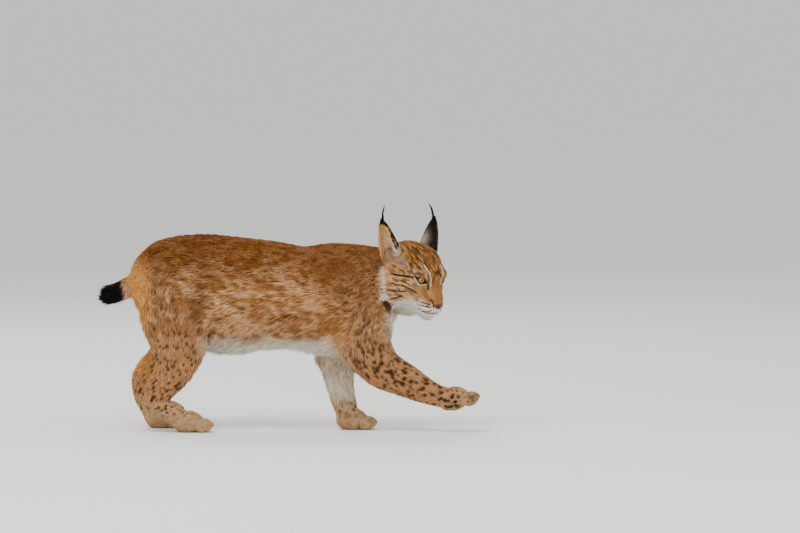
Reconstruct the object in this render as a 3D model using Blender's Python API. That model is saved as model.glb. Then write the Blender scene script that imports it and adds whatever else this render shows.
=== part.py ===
"""A life-size Eurasian lynx in its winter coat, walking low to the right with its head turned to the viewer.

Metres, +Z up. The animal faces +X, its right side is towards -Y, and the floor is z = 0. Three feet stand on
flats at z = 0 and the right forepaw is held forward. The body is modelled whole, blended, and parted with
thin cuts. The head is modelled in a frame of its own, with its origin at the tip of the nose.
"""

import math

import bmesh
import bpy
import numpy as np
from mathutils import Matrix, Vector
from mathutils.bvhtree import BVHTree

# Driving dimensions
GAP = 0.0003                # cut between two neighbouring parts
BODY_VOXEL = 0.0055         # grid used to blend the body's volumes
HEAD_VOXEL = 0.0030         # grid used to blend the head's volumes
SKULL_VOXEL = 0.0040        # grid used to blend the rounded masses behind the face
BODY_RELAX = 8              # passes that soften the creases between the volumes
SKULL_RELAX = 26
HEAD_RELAX = 7
BODY_TRIANGLES = 3100
HEAD_TRIANGLES = 1700
SEED = 7

WITHERS_HEIGHT = 0.458
RUMP_HEIGHT = 0.477
BELLY_HEIGHT = 0.186
TRUNK_HALF_WIDTH = 0.112

NOSE_TIP = Vector((0.363, -0.090, 0.299))
HEAD_YAW = math.radians(42)      # turned to the viewer, from facing +X
HEAD_PITCH = math.radians(29)    # nose down
EYE_RADIUS = 0.0150
EYE_PLACE = Vector((-0.0665, 0.0345, 0.0410))   # middle of the left eyeball in the head's frame
EYE_TURN = math.radians(24)      # outward turn of the gaze
EAR_BASE = Vector((-0.149, 0.064, 0.058))
EAR_TIP = Vector((-0.192, 0.094, 0.130))
TUFT_END = Vector((-0.2085, 0.076, 0.1507))
EAR_MOUTH = Vector((0.10, 0.99, 0.0))   # where the left ear's cup faces
EAR_HALF_WIDTH = 0.030
EAR_WALL = 0.0030
EAR_DEPTH = 0.020                # how deep the cup is at its base
EAR_ARC = math.radians(118)      # how far the cup reaches round to each side
EAR_SIDES = 8
EAR_HEIGHTS = (-0.35, -0.05, 0.20, 0.42, 0.62, 0.80, 0.93, 1.0)
LID_THICKNESS = 0.0020
LID_HALF_WIDTH = 0.0130
LID_HALF_HEIGHT = 0.0082
LID_SIDES = 14
MOUTH_MIDDLE = -0.050            # axis that the line of the mouth runs round
MOUTH_FRONT = -0.0265
MOUTH_SIDE = -0.0370
MOUTH_ARC = math.radians(105)
MOUTH_POINTS = 13
MOUTH_WIDTH = 0.0032

# Trunk: x, height of the back, height of the belly, half width
TRUNK = (
    (-0.345, 0.405, 0.318, 0.055),
    (-0.325, 0.440, 0.278, 0.080),
    (-0.285, 0.469, 0.240, 0.098),
    (-0.220, RUMP_HEIGHT + 0.002, 0.200, 0.106),
    (-0.140, 0.474, BELLY_HEIGHT - 0.008, 0.107),
    (-0.050, 0.466, BELLY_HEIGHT, TRUNK_HALF_WIDTH),
    (0.030, 0.452, BELLY_HEIGHT, TRUNK_HALF_WIDTH),
    (0.100, WITHERS_HEIGHT, 0.174, 0.108),
    (0.152, 0.450, 0.175, 0.098),
    (0.188, 0.415, 0.181, 0.080),
    (0.212, 0.362, 0.190, 0.054),
)
# Limbs, neck and tail: middle of each station, half size across, half size fore and aft
NECK = (
    ((0.110, 0.000, 0.362), 0.090, 0.088),
    ((0.185, 0.000, 0.372), 0.086, 0.080),
    ((0.258, 0.004, 0.385), 0.068, 0.066),
)
TAIL = (
    ((-0.310, 0.000, 0.390), 0.048, 0.052),
    ((-0.357, 0.000, 0.360), 0.036, 0.039),
    ((-0.392, 0.000, 0.339), 0.026, 0.029),
    ((-0.422, 0.000, 0.326), 0.018, 0.019),
)
FORELEG_RIGHT = (
    ((0.165, -0.062, 0.360), 0.036, 0.062),
    ((0.190, -0.070, 0.280), 0.038, 0.066),
    ((0.185, -0.075, 0.215), 0.037, 0.062),
    ((0.218, -0.078, 0.158), 0.036, 0.052),
    ((0.275, -0.080, 0.125), 0.032, 0.043),
    ((0.335, -0.081, 0.094), 0.029, 0.032),
    ((0.380, -0.081, 0.080), 0.030, 0.026),
)
FORELEG_LEFT = (
    ((0.140, 0.062, 0.350), 0.036, 0.062),
    ((0.150, 0.070, 0.275), 0.038, 0.060),
    ((0.112, 0.060, 0.205), 0.036, 0.050),
    ((0.117, 0.045, 0.140), 0.033, 0.040),
    ((0.126, 0.030, 0.085), 0.031, 0.034),
    ((0.138, 0.022, 0.045), 0.033, 0.032),
)
HIND_LEG_RIGHT = (
    ((-0.285, -0.050, 0.375), 0.044, 0.070),
    ((-0.272, -0.070, 0.290), 0.044, 0.088),
    ((-0.260, -0.078, 0.220), 0.040, 0.071),
    ((-0.268, -0.076, 0.155), 0.035, 0.051),
    ((-0.302, -0.072, 0.102), 0.032, 0.037),
    ((-0.312, -0.070, 0.068), 0.031, 0.032),
    ((-0.270, -0.068, 0.042), 0.033, 0.032),
)
HIND_LEG_LEFT = (
    ((-0.285, 0.050, 0.375), 0.044, 0.070),
    ((-0.274, 0.070, 0.290), 0.044, 0.086),
    ((-0.268, 0.078, 0.225), 0.040, 0.068),
    ((-0.298, 0.078, 0.172), 0.034, 0.044),
    ((-0.345, 0.076, 0.126), 0.030, 0.032),
    ((-0.345, 0.074, 0.080), 0.030, 0.031),
    ((-0.326, 0.072, 0.042), 0.034, 0.032),
)
# Paws: middle of the ball, heading and nose-up tilt in degrees, half width
PAWS = {
    "foreleg_right": ((0.404, -0.082, 0.079), -6, 13, 0.042),
    "foreleg_left": ((0.160, 0.018, 0.0195), -4, 0, 0.042),
    "hind_leg_right": ((-0.228, -0.067, 0.0195), -3, 0, 0.041),
    "hind_leg_left": ((-0.298, 0.070, 0.0195), 3, 0, 0.041),
}
TOE_SPREAD = math.radians(15)    # angle between one toe and the next
TOES = 4

# Cuts across each limb: a place on the cut and the direction of the piece beyond it
LIMB_CUTS = {
    "foreleg_right": (
        ("forearm_right", (0.196, -0.077, 0.186), (0.85, 0, -0.50)),
        ("forepaw_right", (0.362, -0.081, 0.086), (1.0, 0, -0.25)),
    ),
    "foreleg_left": (
        ("forearm_left", (0.114, 0.060, 0.178), (0.05, 0, -1.0)),
        ("forepaw_left", (0.130, 0.026, 0.070), (0.25, 0, -1.0)),
    ),
    "hind_leg_right": (
        ("shank_right", (-0.254, -0.077, 0.188), (-0.25, 0, -1.0)),
        ("hind_foot_right", (-0.306, -0.071, 0.084), (0.12, 0, -1.0)),
    ),
    "hind_leg_left": (
        ("shank_left", (-0.272, 0.078, 0.200), (-0.45, 0, -1.0)),
        ("hind_foot_left", (-0.345, 0.075, 0.106), (0.0, 0, -1.0)),
    ),
}
UPPER_NAMES = {
    "foreleg_right": "upper_arm_right",
    "foreleg_left": "upper_arm_left",
    "hind_leg_right": "thigh_right",
    "hind_leg_left": "thigh_left",
}
HEAD_CUT = (Vector((0.256, 0.0065, 0.379)), Vector((0.84, -0.50, -0.20)))
NECK_CUT = (Vector((0.175, 0, 0.400)), Vector((0.776, 0, 0.631)))
TAIL_CUT = (Vector((-0.368, 0, 0.346)), Vector((-0.86, 0, -0.50)))
TAIL_REACH = 0.055

# Locks: share of the length, share of the width and share of the thickness at each section
LOCK_SECTIONS = (
    (-0.28, 0.80, 1.00),
    (0.10, 1.00, 1.00),
    (0.45, 0.86, 0.85),
    (0.76, 0.52, 0.60),
    (1.00, 0.10, 0.25),
)
LOCK_CLEARANCE = 0.0004     # kept between a lock and the next part
# Each fringe of locks: length, width, thickness, lift off the surface in degrees, bend as a share of the length
BELLY_LOCK = (0.041, 0.021, 0.0046, 27, 0.16)
CHEST_LOCK = (0.042, 0.022, 0.0046, 12, 0.03)
THIGH_LOCK = (0.038, 0.020, 0.0044, 22, 0.14)
TAIL_LOCK = (0.040, 0.016, 0.0044, 17, 0.09)
RUFF_LOCK = (0.040, 0.015, 0.0040, 24, 0.16)
TUFT_LOCK = (0.034, 0.0052, 0.0026, 0, 0.10)
BELLY_PLACES = 8            # locks along each row of the belly's fringe
BELLY_REACH = (-0.165, 0.065)
CHEST_PLACES = (4, 2)       # locks to a row, and rows
THIGH_PLACES = (4, 2)
TAIL_PLACES = (6, 2)
RUFF_PLACES = (6, 2)
TUFT_LOCKS = 3

FUR = {
    "ochre": (0.38, 0.25, 0.15),
    "tan": (0.50, 0.37, 0.26),
    "cream": (0.72, 0.66, 0.58),
    "dark": (0.05, 0.04, 0.035),
    "amber": (0.62, 0.42, 0.12),
}


def clear_scene():
    """Remove whatever the file holds, so that only the lynx is left."""
    for thing in list(bpy.data.objects):
        bpy.data.objects.remove(thing, do_unlink=True)


def link(name, mesh):
    """Make an object of a mesh and put it in the scene."""
    thing = bpy.data.objects.new(name, mesh)
    bpy.context.scene.collection.objects.link(thing)
    return thing


def mesh_from(shape, name):
    """Turn a bmesh into a mesh, all in triangles, with its faces pointing out."""
    bmesh.ops.recalc_face_normals(shape, faces=shape.faces)
    bmesh.ops.triangulate(shape, faces=shape.faces)
    mesh = bpy.data.meshes.new(name)
    shape.to_mesh(mesh)
    shape.free()
    return mesh


def discard(thing):
    """Remove a helper object with its mesh."""
    mesh = thing.data
    bpy.data.objects.remove(thing, do_unlink=True)
    bpy.data.meshes.remove(mesh)


def smooth_path(stations, steps):
    """Read a smooth curve through the stations, as rows of numbers, steps rows to a span."""
    rows = np.array(stations, float)
    ends = np.vstack([2 * rows[0] - rows[1], rows, 2 * rows[-1] - rows[-2]])
    found = []
    for i in range(len(rows) - 1):
        a, b, c, d = ends[i:i + 4]
        for t in np.arange(steps) / steps:
            found.append(
                0.5 * (2 * b + (c - a) * t + (2 * a - 5 * b + 4 * c - d) * t**2
                       + (3 * b - a - 3 * c + d) * t**3)
            )
    found.append(rows[-1])
    return np.array(found)


def ring_bridge(rings, name, sides):
    """Join rings of points into one closed skin, with a pole at each end."""
    shape = bmesh.new()
    loops = [[shape.verts.new(point) for point in ring] for ring in rings]
    for low, high in zip(loops, loops[1:]):
        for i in range(sides):
            j = (i + 1) % sides
            shape.faces.new((low[i], low[j], high[j], high[i]))
    for loop in (loops[0], loops[-1]):
        shape.faces.new(loop)
    return mesh_from(shape, name)


def tube(stations, name, sides=20, steps=4):
    """Carry an ellipse along a smooth path, with rounded ends."""
    rows = smooth_path([(*place, across, fore) for place, across, fore in stations], steps)
    path = rows[:, :3]
    along = np.gradient(path, axis=0)
    along /= np.linalg.norm(along, axis=1, keepdims=True)
    across = np.array([0.0, 1.0, 0.0]) - along * along[:, 1:2]
    across /= np.linalg.norm(across, axis=1, keepdims=True)
    fore = np.cross(along, across)
    turn = np.arange(sides) * 2 * math.pi / sides
    rings = []
    cap = np.radians((80, 60, 35))
    for i in range(len(rows)):
        rings.append((path[i], 1.0, i))
    for angle in cap[::-1]:
        reach = min(rows[0, 3:]) * math.sin(angle)
        rings.insert(0, (path[0] - along[0] * reach, math.cos(angle), 0))
        reach = min(rows[-1, 3:]) * math.sin(angle)
        rings.append((path[-1] + along[-1] * reach, math.cos(angle), len(rows) - 1))
    points = []
    for middle, size, i in rings:
        points.append(
            middle
            + size * rows[i, 3] * np.outer(np.cos(turn), across[i])
            + size * rows[i, 4] * np.outer(np.sin(turn), fore[i])
        )
    return link(name, ring_bridge(points, name, sides))


def ball(middle, radii, name, turn=Matrix(), segments=20):
    """Make an ellipsoid in a given frame."""
    shape = bmesh.new()
    bmesh.ops.create_uvsphere(shape, u_segments=segments, v_segments=segments // 2, radius=1)
    place = turn @ Matrix.Translation(middle) @ Matrix.Diagonal((*radii, 1))
    bmesh.ops.transform(shape, matrix=place, verts=shape.verts)
    return link(name, mesh_from(shape, name))


def block(middle, half, name, turn=Matrix(), grow=0.0):
    """Make a box about a point in a given frame, made larger on every side by grow."""
    shape = bmesh.new()
    bmesh.ops.create_cube(shape, size=2)
    size = Matrix.Diagonal((*[side + grow for side in half], 1))
    bmesh.ops.transform(shape, matrix=turn @ Matrix.Translation(middle) @ size, verts=shape.verts)
    return link(name, mesh_from(shape, name))


def disc(middle, radii, half_depth, name, turn=Matrix(), grow=0.0, sides=28):
    """Make an elliptic cylinder along the frame's Y axis, made larger on every side by grow."""
    shape = bmesh.new()
    bmesh.ops.create_cone(
        shape, cap_ends=True, segments=sides, radius1=1, radius2=1, depth=2
    )
    size = Matrix.Diagonal((radii[0] + grow, radii[1] + grow, half_depth + grow, 1))
    stand = Matrix.Rotation(math.radians(90), 4, "X")
    place = turn @ Matrix.Translation(middle) @ stand @ size
    bmesh.ops.transform(shape, matrix=place, verts=shape.verts)
    return link(name, mesh_from(shape, name))


def evaluated(thing, name):
    """Apply the object's modifiers: replace its mesh by the shape they give."""
    graph = bpy.context.evaluated_depsgraph_get()
    mesh = bpy.data.meshes.new_from_object(thing.evaluated_get(graph))
    old = thing.data
    thing.modifiers.clear()
    thing.data = mesh
    mesh.name = name
    bpy.data.meshes.remove(old)
    return thing


def boolean(thing, others, operation, solver="EXACT"):
    """Apply one Boolean with a collection of closed meshes, which are then removed."""
    group = bpy.data.collections.new("cutters")
    bpy.context.scene.collection.children.link(group)
    for other in others:
        group.objects.link(other)
    change = thing.modifiers.new("boolean", "BOOLEAN")
    change.operation = operation
    change.solver = solver
    change.operand_type = "COLLECTION"
    change.collection = group
    evaluated(thing, thing.name)
    for other in others:
        discard(other)
    bpy.data.collections.remove(group)
    return thing


def shell_volume(shell):
    """Work out the volume that a list of triangles encloses, from the solid angle that each one adds."""
    return sum(
        face.verts[0].co.dot(face.verts[1].co.cross(face.verts[2].co)) for face in shell
    ) / 6


def keep_largest(thing):
    """Keep only the largest closed surface of an object."""
    shape = bmesh.new()
    shape.from_mesh(thing.data)
    bmesh.ops.triangulate(shape, faces=shape.faces)
    bmesh.ops.dissolve_degenerate(shape, dist=1e-6, edges=shape.edges)
    bmesh.ops.triangulate(shape, faces=shape.faces)
    waiting = set(shape.faces)
    shells = []
    while waiting:
        start = waiting.pop()
        shell, edge_of_shell = [start], [start]
        while edge_of_shell:
            face = edge_of_shell.pop()
            near = {other for edge in face.edges for other in edge.link_faces} & waiting
            waiting -= near
            shell.extend(near)
            edge_of_shell.extend(near)
        shells.append(shell)
    shells.sort(key=shell_volume)
    for shell in shells[:-1]:
        bmesh.ops.delete(shape, geom=shell, context="FACES")
    shape.to_mesh(thing.data)
    shape.free()
    return thing


def copy_of(thing, name):
    """Copy an object with a mesh of its own."""
    return link(name, thing.data.copy())


def blended(pieces, name, voxel, triangles, relax):
    """Join closed pieces into one skin on a fine grid, relax its creases, and thin it to few triangles."""
    base = pieces[0]
    shape = bmesh.new()
    for piece in pieces:
        shape.from_mesh(piece.data)
    mesh = bpy.data.meshes.new(name)
    shape.to_mesh(mesh)
    shape.free()
    for piece in pieces[1:]:
        discard(piece)
    old = base.data
    base.data = mesh
    bpy.data.meshes.remove(old)
    base.name = name
    remesh = base.modifiers.new("remesh", "REMESH")
    remesh.mode = "VOXEL"
    remesh.voxel_size = voxel
    smooth = base.modifiers.new("relax", "SMOOTH")
    smooth.factor = 0.5
    smooth.iterations = relax
    evaluated(base, name)
    faces = sum(len(face.vertices) - 2 for face in base.data.polygons)
    thin = base.modifiers.new("thin", "DECIMATE")
    thin.ratio = triangles / faces
    evaluated(base, name)
    return keep_largest(base)


def head_frame():
    """Find the head's frame: X along the nose, Y to the animal's left, Z up, origin at the nose tip."""
    turn = Matrix.Rotation(-HEAD_YAW, 4, "Z") @ Matrix.Rotation(HEAD_PITCH, 4, "Y")
    return Matrix.Translation(NOSE_TIP) @ turn


def in_head(place):
    """Turn a place in the head's frame into one in the world."""
    return head_frame() @ Vector(place)


def trunk():
    """The chest, belly and rump, one ellipse at each station."""
    stations = [
        ((x, 0.0, (top + bottom) / 2), half_width, (top - bottom) / 2)
        for x, top, bottom, half_width in TRUNK
    ]
    return tube(stations, "trunk", sides=32)


def paw(name):
    """One paw: the ball, and toes fanned ahead of it."""
    place, heading, tilt, half_width = PAWS[name]
    turn = (
        Matrix.Translation(place)
        @ Matrix.Rotation(math.radians(heading), 4, "Z")
        @ Matrix.Rotation(-math.radians(tilt), 4, "Y")
    )
    pieces = [ball((-0.010, 0, 0.004), (0.038, half_width * 0.92, 0.029), name + "_ball", turn)]
    for i in range(TOES):
        fan = (i - (TOES - 1) / 2) * TOE_SPREAD
        reach = 0.030 - 0.006 * abs(i - (TOES - 1) / 2)
        toe = turn @ Matrix.Rotation(fan, 4, "Z")
        middle = (reach, 0, -0.003)
        pieces.append(ball(middle, (0.022, 0.0118, 0.0165), f"{name}_toe_{i}", toe))
    return pieces


def skull_pieces(prefix):
    """The rounded masses behind the face, in the head's own frame."""
    frame = head_frame()
    pieces = [
        ball((-0.134, 0, 0.028), (0.070, 0.066, 0.069), prefix + "skull", frame),
        ball((-0.088, 0, 0.034), (0.056, 0.057, 0.051), prefix + "forehead", frame),
        ball((-0.080, 0, -0.026), (0.062, 0.042, 0.034), prefix + "jaw", frame),
        ball((-0.145, 0, -0.004), (0.058, 0.060, 0.054), prefix + "throat", frame),
        ball((-0.064, 0, 0.004), (0.050, 0.034, 0.034), prefix + "face", frame),
    ]
    for side in (-1, 1):
        pieces += [
            ball((-0.092, side * 0.036, 0.002), (0.052, 0.037, 0.048), prefix + "cheek", frame),
            ball((-0.124, side * 0.052, -0.022), (0.044, 0.032, 0.052), prefix + "ruff", frame),
            ball((-0.128, side * 0.042, 0.044), (0.052, 0.036, 0.042), prefix + "temple", frame),
        ]
    return pieces


def face_pieces():
    """The smaller masses of the face: bridge, nose, muzzle, lips, chin and brows."""
    frame = head_frame()
    pieces = [
        ball((-0.056, 0, 0.012), (0.050, 0.026, 0.023), "bridge", frame),
        ball((-0.031, 0, 0.002), (0.0315, 0.0190, 0.0145), "nose", frame),
        ball((-0.045, 0, -0.014), (0.039, 0.029, 0.025), "muzzle", frame),
        ball((-0.034, 0, -0.039), (0.023, 0.019, 0.016), "chin", frame),
    ]
    for side in (-1, 1):
        pieces += [
            ball((-0.034, side * 0.0160, -0.016), (0.0250, 0.0205, 0.0175), "lip", frame),
            ball((-0.072, side * 0.030, 0.050), (0.030, 0.022, 0.015), "brow", frame),
        ]
    return pieces


def gaze_frame(side):
    """Find the frame of one eye: X out along the gaze, Z up."""
    place = (EYE_PLACE.x, side * EYE_PLACE.y, EYE_PLACE.z)
    turn = Matrix.Rotation(side * EYE_TURN, 4, "Z") @ Matrix.Rotation(-math.radians(8), 4, "Y")
    return head_frame() @ Matrix.Translation(place) @ turn


def eyeball(side, radius, name):
    """A ball in the eye's frame, with its poles along the gaze."""
    turn = gaze_frame(side) @ Matrix.Rotation(math.radians(90), 4, "Y")
    return ball((0, 0, 0), (radius,) * 3, name, turn, segments=14)


def ear_rings(side):
    """Rings up the ear from below its base to its tip: round the outside of the cup and back round its inside.

    At each height the outside is an arc that is open to the front, EAR_ARC to each side of the ear's back, and the
    inside is the same arc drawn in by the wall.
    """
    base = Vector((EAR_BASE.x, side * EAR_BASE.y, EAR_BASE.z))
    tip = Vector((EAR_TIP.x, side * EAR_TIP.y, EAR_TIP.z))
    up = (tip - base).normalized()
    length = (tip - base).length
    mouth = Vector((EAR_MOUTH.x, side * EAR_MOUTH.y, EAR_MOUTH.z))
    mouth = (mouth - up * mouth.dot(up)).normalized()
    across = up.cross(mouth)
    turn = head_frame()
    rings = []
    for height in EAR_HEIGHTS:
        taper = max(1 - height, 0.0) ** 0.62
        half_width = EAR_HALF_WIDTH * min(1.0, taper * (1 + 0.25 * height)) + EAR_WALL * 0.5
        depth = EAR_DEPTH * min(1.0, taper) + EAR_WALL * 0.5
        middle = base + up * length * height
        ring = []
        for drawn_in in (0.0, 1.0):
            turns = np.linspace(-EAR_ARC, EAR_ARC, EAR_SIDES)
            if drawn_in:
                turns = turns[::-1]
            for angle in turns:
                wall = min(EAR_WALL, half_width * 0.5) * drawn_in
                place = (
                    middle
                    + across * (half_width - wall) * math.sin(angle)
                    - mouth * (depth - wall) * math.cos(angle)
                )
                ring.append(turn @ place)
        rings.append(ring)
    return rings


def ear(side, name):
    """One ear: a curved leaf folded into a cup, with a thin tuft at its tip."""
    return link(name, ring_bridge(ear_rings(side), name, 2 * EAR_SIDES))


def lock(root, way, out, shape, bend, rng, name="lock"):
    """One lock: a flat tapered blade with four-sided sections, bending towards a direction along its length.

    The point at a share s of the length is root + length * (s * way + s * s * bend * curl), with the bend left out
    for the part sunk in the body. Length and width vary a little from lock to lock.
    """
    length, width, thickness, _, curl = shape
    length *= rng.uniform(0.86, 1.12)
    width *= rng.uniform(0.88, 1.10)
    across = way.cross(out).normalized()
    rings = []
    for share, wide, deep in LOCK_SECTIONS:
        beyond = max(share, 0.0)
        middle = root + length * (way * share + bend * curl * beyond**2)
        heading = (way + bend * 2 * curl * beyond).normalized()
        flat = across.cross(heading)
        side = across * width * wide / 2
        face = flat * thickness * deep / 2
        rings.append([middle + side, middle + face, middle - side, middle - face])
    return link(name, ring_bridge(rings, name, 4))


def rooted(tree, start, aim, way, bend, shape, rng, facing=(0, 0, 0)):
    """Root one lock where a line from start meets the surface, lying along a direction and lifted off the surface.

    Its flat side faces away from the surface, turned towards the direction given as facing.
    """
    turn = rng.uniform(-0.16, 0.16)
    place, normal = tree.ray_cast(Vector(start), Vector(aim))[:2]
    if place is None:
        return []
    along = Vector(way)
    along = (along - normal * along.dot(normal)).normalized()
    along = Matrix.Rotation(turn, 3, normal) @ along
    lift = math.radians(shape[3] + rng.uniform(-5, 5))
    heading = along * math.cos(lift) + normal * math.sin(lift)
    flat = normal + Vector(facing)
    return [lock(place - normal * shape[2] * 0.3, heading, flat, shape, Vector(bend), rng)]


def surface_of(thing):
    """Make a tree for finding where a line meets an object's surface."""
    bpy.context.view_layer.update()
    return BVHTree.FromObject(thing, bpy.context.evaluated_depsgraph_get())


def belly_locks(torso, rng):
    """The fringe under the belly, swept back and hanging: a row along its middle and one along each side."""
    tree = surface_of(torso)
    locks = []
    for side in (-1, 0, 1):
        for x in np.linspace(*BELLY_REACH, BELLY_PLACES):
            x += rng.uniform(-0.008, 0.008) + (side == 0) * 0.012
            start = (x, side * 0.150, 0.10 - 0.05 * (side == 0) + rng.uniform(-0.006, 0.006))
            locks += rooted(tree, start, (0, -0.9 * side, 0.9 if side else 1), (-0.8, 0, -1), (-0.2, 0, -1),
                            BELLY_LOCK, rng, (0, side or 3 * rng.choice((-1, 1)), 0))
    return locks


def chest_locks(torso, rng):
    """The long coat at the front of the chest, hanging between the forelegs."""
    tree = surface_of(torso)
    across, rows = CHEST_PLACES
    locks = []
    for row in range(rows):
        for y in np.linspace(-0.024, 0.048, across):
            z = 0.266 - 0.036 * row + rng.uniform(-0.006, 0.006)
            locks += rooted(tree, (0.50, y + (row % 2) * 0.008, z), (-1, 0, 0), (0, 0.15, -1), (0.25, 0, -1),
                            CHEST_LOCK, rng, (0, 30 * (y - 0.012), 0))
    return locks


def thigh_locks(thigh, side, rng):
    """The fringe down the back of one thigh."""
    tree = surface_of(thigh)
    down, rows = THIGH_PLACES
    locks = []
    for row in range(rows):
        y = side * (0.064 + 0.024 * row)
        for z in np.linspace(0.350, 0.250, down):
            z += rng.uniform(-0.006, 0.006) - (row % 2) * 0.012
            locks += rooted(tree, (-0.55, y, z), (1, 0, 0), (0, 0, -1), (-0.4, 0, -1), THIGH_LOCK, rng,
                            (0, side * (0.6 + row), 0))
    return locks


def tail_locks(tail, rng):
    """The brush of the tail: rings of locks pointing along it, past its tip."""
    tree = surface_of(tail)
    round_it, rows = TAIL_PLACES
    tip = Vector(TAIL[-1][0])
    way = (tip - Vector(TAIL[-2][0])).normalized()
    over = Vector((0, 1, 0))
    up = way.cross(over)
    locks = []
    for row in range(rows):
        middle = tip - way * (0.008 + 0.026 * row)
        for i in range(round_it):
            angle = 2 * math.pi * (i + 0.5 * (row % 2)) / round_it + rng.uniform(-0.1, 0.1)
            out = over * math.cos(angle) + up * math.sin(angle)
            locks += rooted(tree, middle + out * 0.08, -out, way, -out, TAIL_LOCK, rng)
    return locks


def ruff_locks(head, side, rng):
    """The ruff: locks fanned down and out from the cheek, the lowest ones longest."""
    tree = surface_of(head)
    frame = head_frame()
    turn = frame.to_3x3()
    along, rows = RUFF_PLACES
    locks = []
    for row in range(rows):
        for share in np.linspace(0, 1, along):
            z = 0.036 - 0.082 * share - (row % 2) * 0.008
            x = -0.140 + 0.030 * share + 0.022 * row + rng.uniform(-0.004, 0.004)
            start = frame @ Vector((x, side * 0.20, z - 0.02))
            aim = turn @ Vector((0, -side, 0.12))
            way = turn @ Vector((-0.55 + 0.30 * share, side * 0.25, -0.80))
            bend = turn @ Vector((-0.3, -side * 0.25, -0.6))
            locks += rooted(tree, start, aim, way, bend, RUFF_LOCK, rng)
    return locks


def tuft_locks(side, rng):
    """The tuft at the tip of one ear: a few thin locks that leave the tip together and spread a little."""
    tip = in_head((EAR_TIP.x, side * EAR_TIP.y, EAR_TIP.z))
    base = in_head((EAR_BASE.x, side * EAR_BASE.y, EAR_BASE.z))
    end = in_head((TUFT_END.x, side * TUFT_END.y, TUFT_END.z))
    up = (tip - base).normalized()
    root = tip - up * 0.007
    way = (end - root).normalized()
    out = way.orthogonal()
    locks = []
    for i in range(TUFT_LOCKS):
        facing = Matrix.Rotation(i * 2 * math.pi / TUFT_LOCKS + 0.4, 3, way) @ out
        heading = (way + facing * 0.10).normalized()
        locks.append(lock(root, heading, facing, TUFT_LOCK, facing, rng))
    return locks


def with_locks(thing, locks, neighbours):
    """Keep locks clear of the neighbours and fuse them with their part, in one union."""
    if not locks:
        return thing
    if neighbours:
        seats = [inflated(other, "seat", LOCK_CLEARANCE) for other in neighbours]
        bundle = boolean(locks[0], locks[1:], "UNION") if len(locks) > 1 else locks[0]
        locks = [boolean(bundle, seats, "DIFFERENCE")]
    boolean(thing, locks, "UNION")
    return keep_largest(thing)


def inflated(thing, name, distance):
    """Copy an object and move its surface outwards."""
    copy = copy_of(thing, name)
    places = np.empty(len(copy.data.vertices) * 3)
    normals = np.empty(len(copy.data.vertices) * 3)
    copy.data.vertices.foreach_get("co", places)
    copy.data.vertices.foreach_get("normal", normals)
    copy.data.vertices.foreach_set("co", places + normals * distance)
    copy.data.update()
    return copy


def lid_opening(side, name):
    """The almond between the lids, as a prism along the gaze."""
    turns = np.arange(LID_SIDES) * 2 * math.pi / LID_SIDES
    tilt = math.radians(14)
    rings = []
    for reach in (0.4, 2.0):
        ring = []
        for angle in turns:
            wide = LID_HALF_WIDTH * math.cos(angle)
            tall = LID_HALF_HEIGHT * math.copysign(abs(math.sin(angle)) ** 1.3, math.sin(angle))
            y = side * (wide * math.cos(tilt) - tall * math.sin(tilt))
            z = wide * math.sin(tilt) + tall * math.cos(tilt)
            ring.append(gaze_frame(side) @ Vector((EYE_RADIUS * reach, y, z)))
        rings.append(ring)
    return link(name, ring_bridge(rings, name, LID_SIDES))


def mouth_path(head, drop=0.0):
    """Places along the line of the mouth, from corner to corner, on the surface of the head."""
    tree = BVHTree.FromObject(head, bpy.context.evaluated_depsgraph_get())
    turn = head_frame()
    places = []
    for share in np.linspace(-1, 1, MOUTH_POINTS):
        angle = share * MOUTH_ARC
        out = Vector((math.cos(angle), math.sin(angle), 0))
        z = MOUTH_FRONT + (MOUTH_SIDE - MOUTH_FRONT) * math.sin(min(abs(share) * 1.6, 1.6)) - drop
        start = turn @ (Vector((MOUTH_MIDDLE, 0, z)) + out * 0.15)
        hit = tree.ray_cast(start, turn.to_3x3() @ -out)[0]
        places.append(hit)
    return places


def strand(places, radius, name, sides=8, ends=1.0):
    """A thin tube through a list of places, its radius falling to a share of itself at both ends."""
    shares = np.sin(np.linspace(0, math.pi, len(places))) ** 0.5
    radii = radius * (ends + (1 - ends) * shares)
    return tube([(place, size, size) for place, size in zip(places, radii)], name, sides=sides, steps=1)


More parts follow.
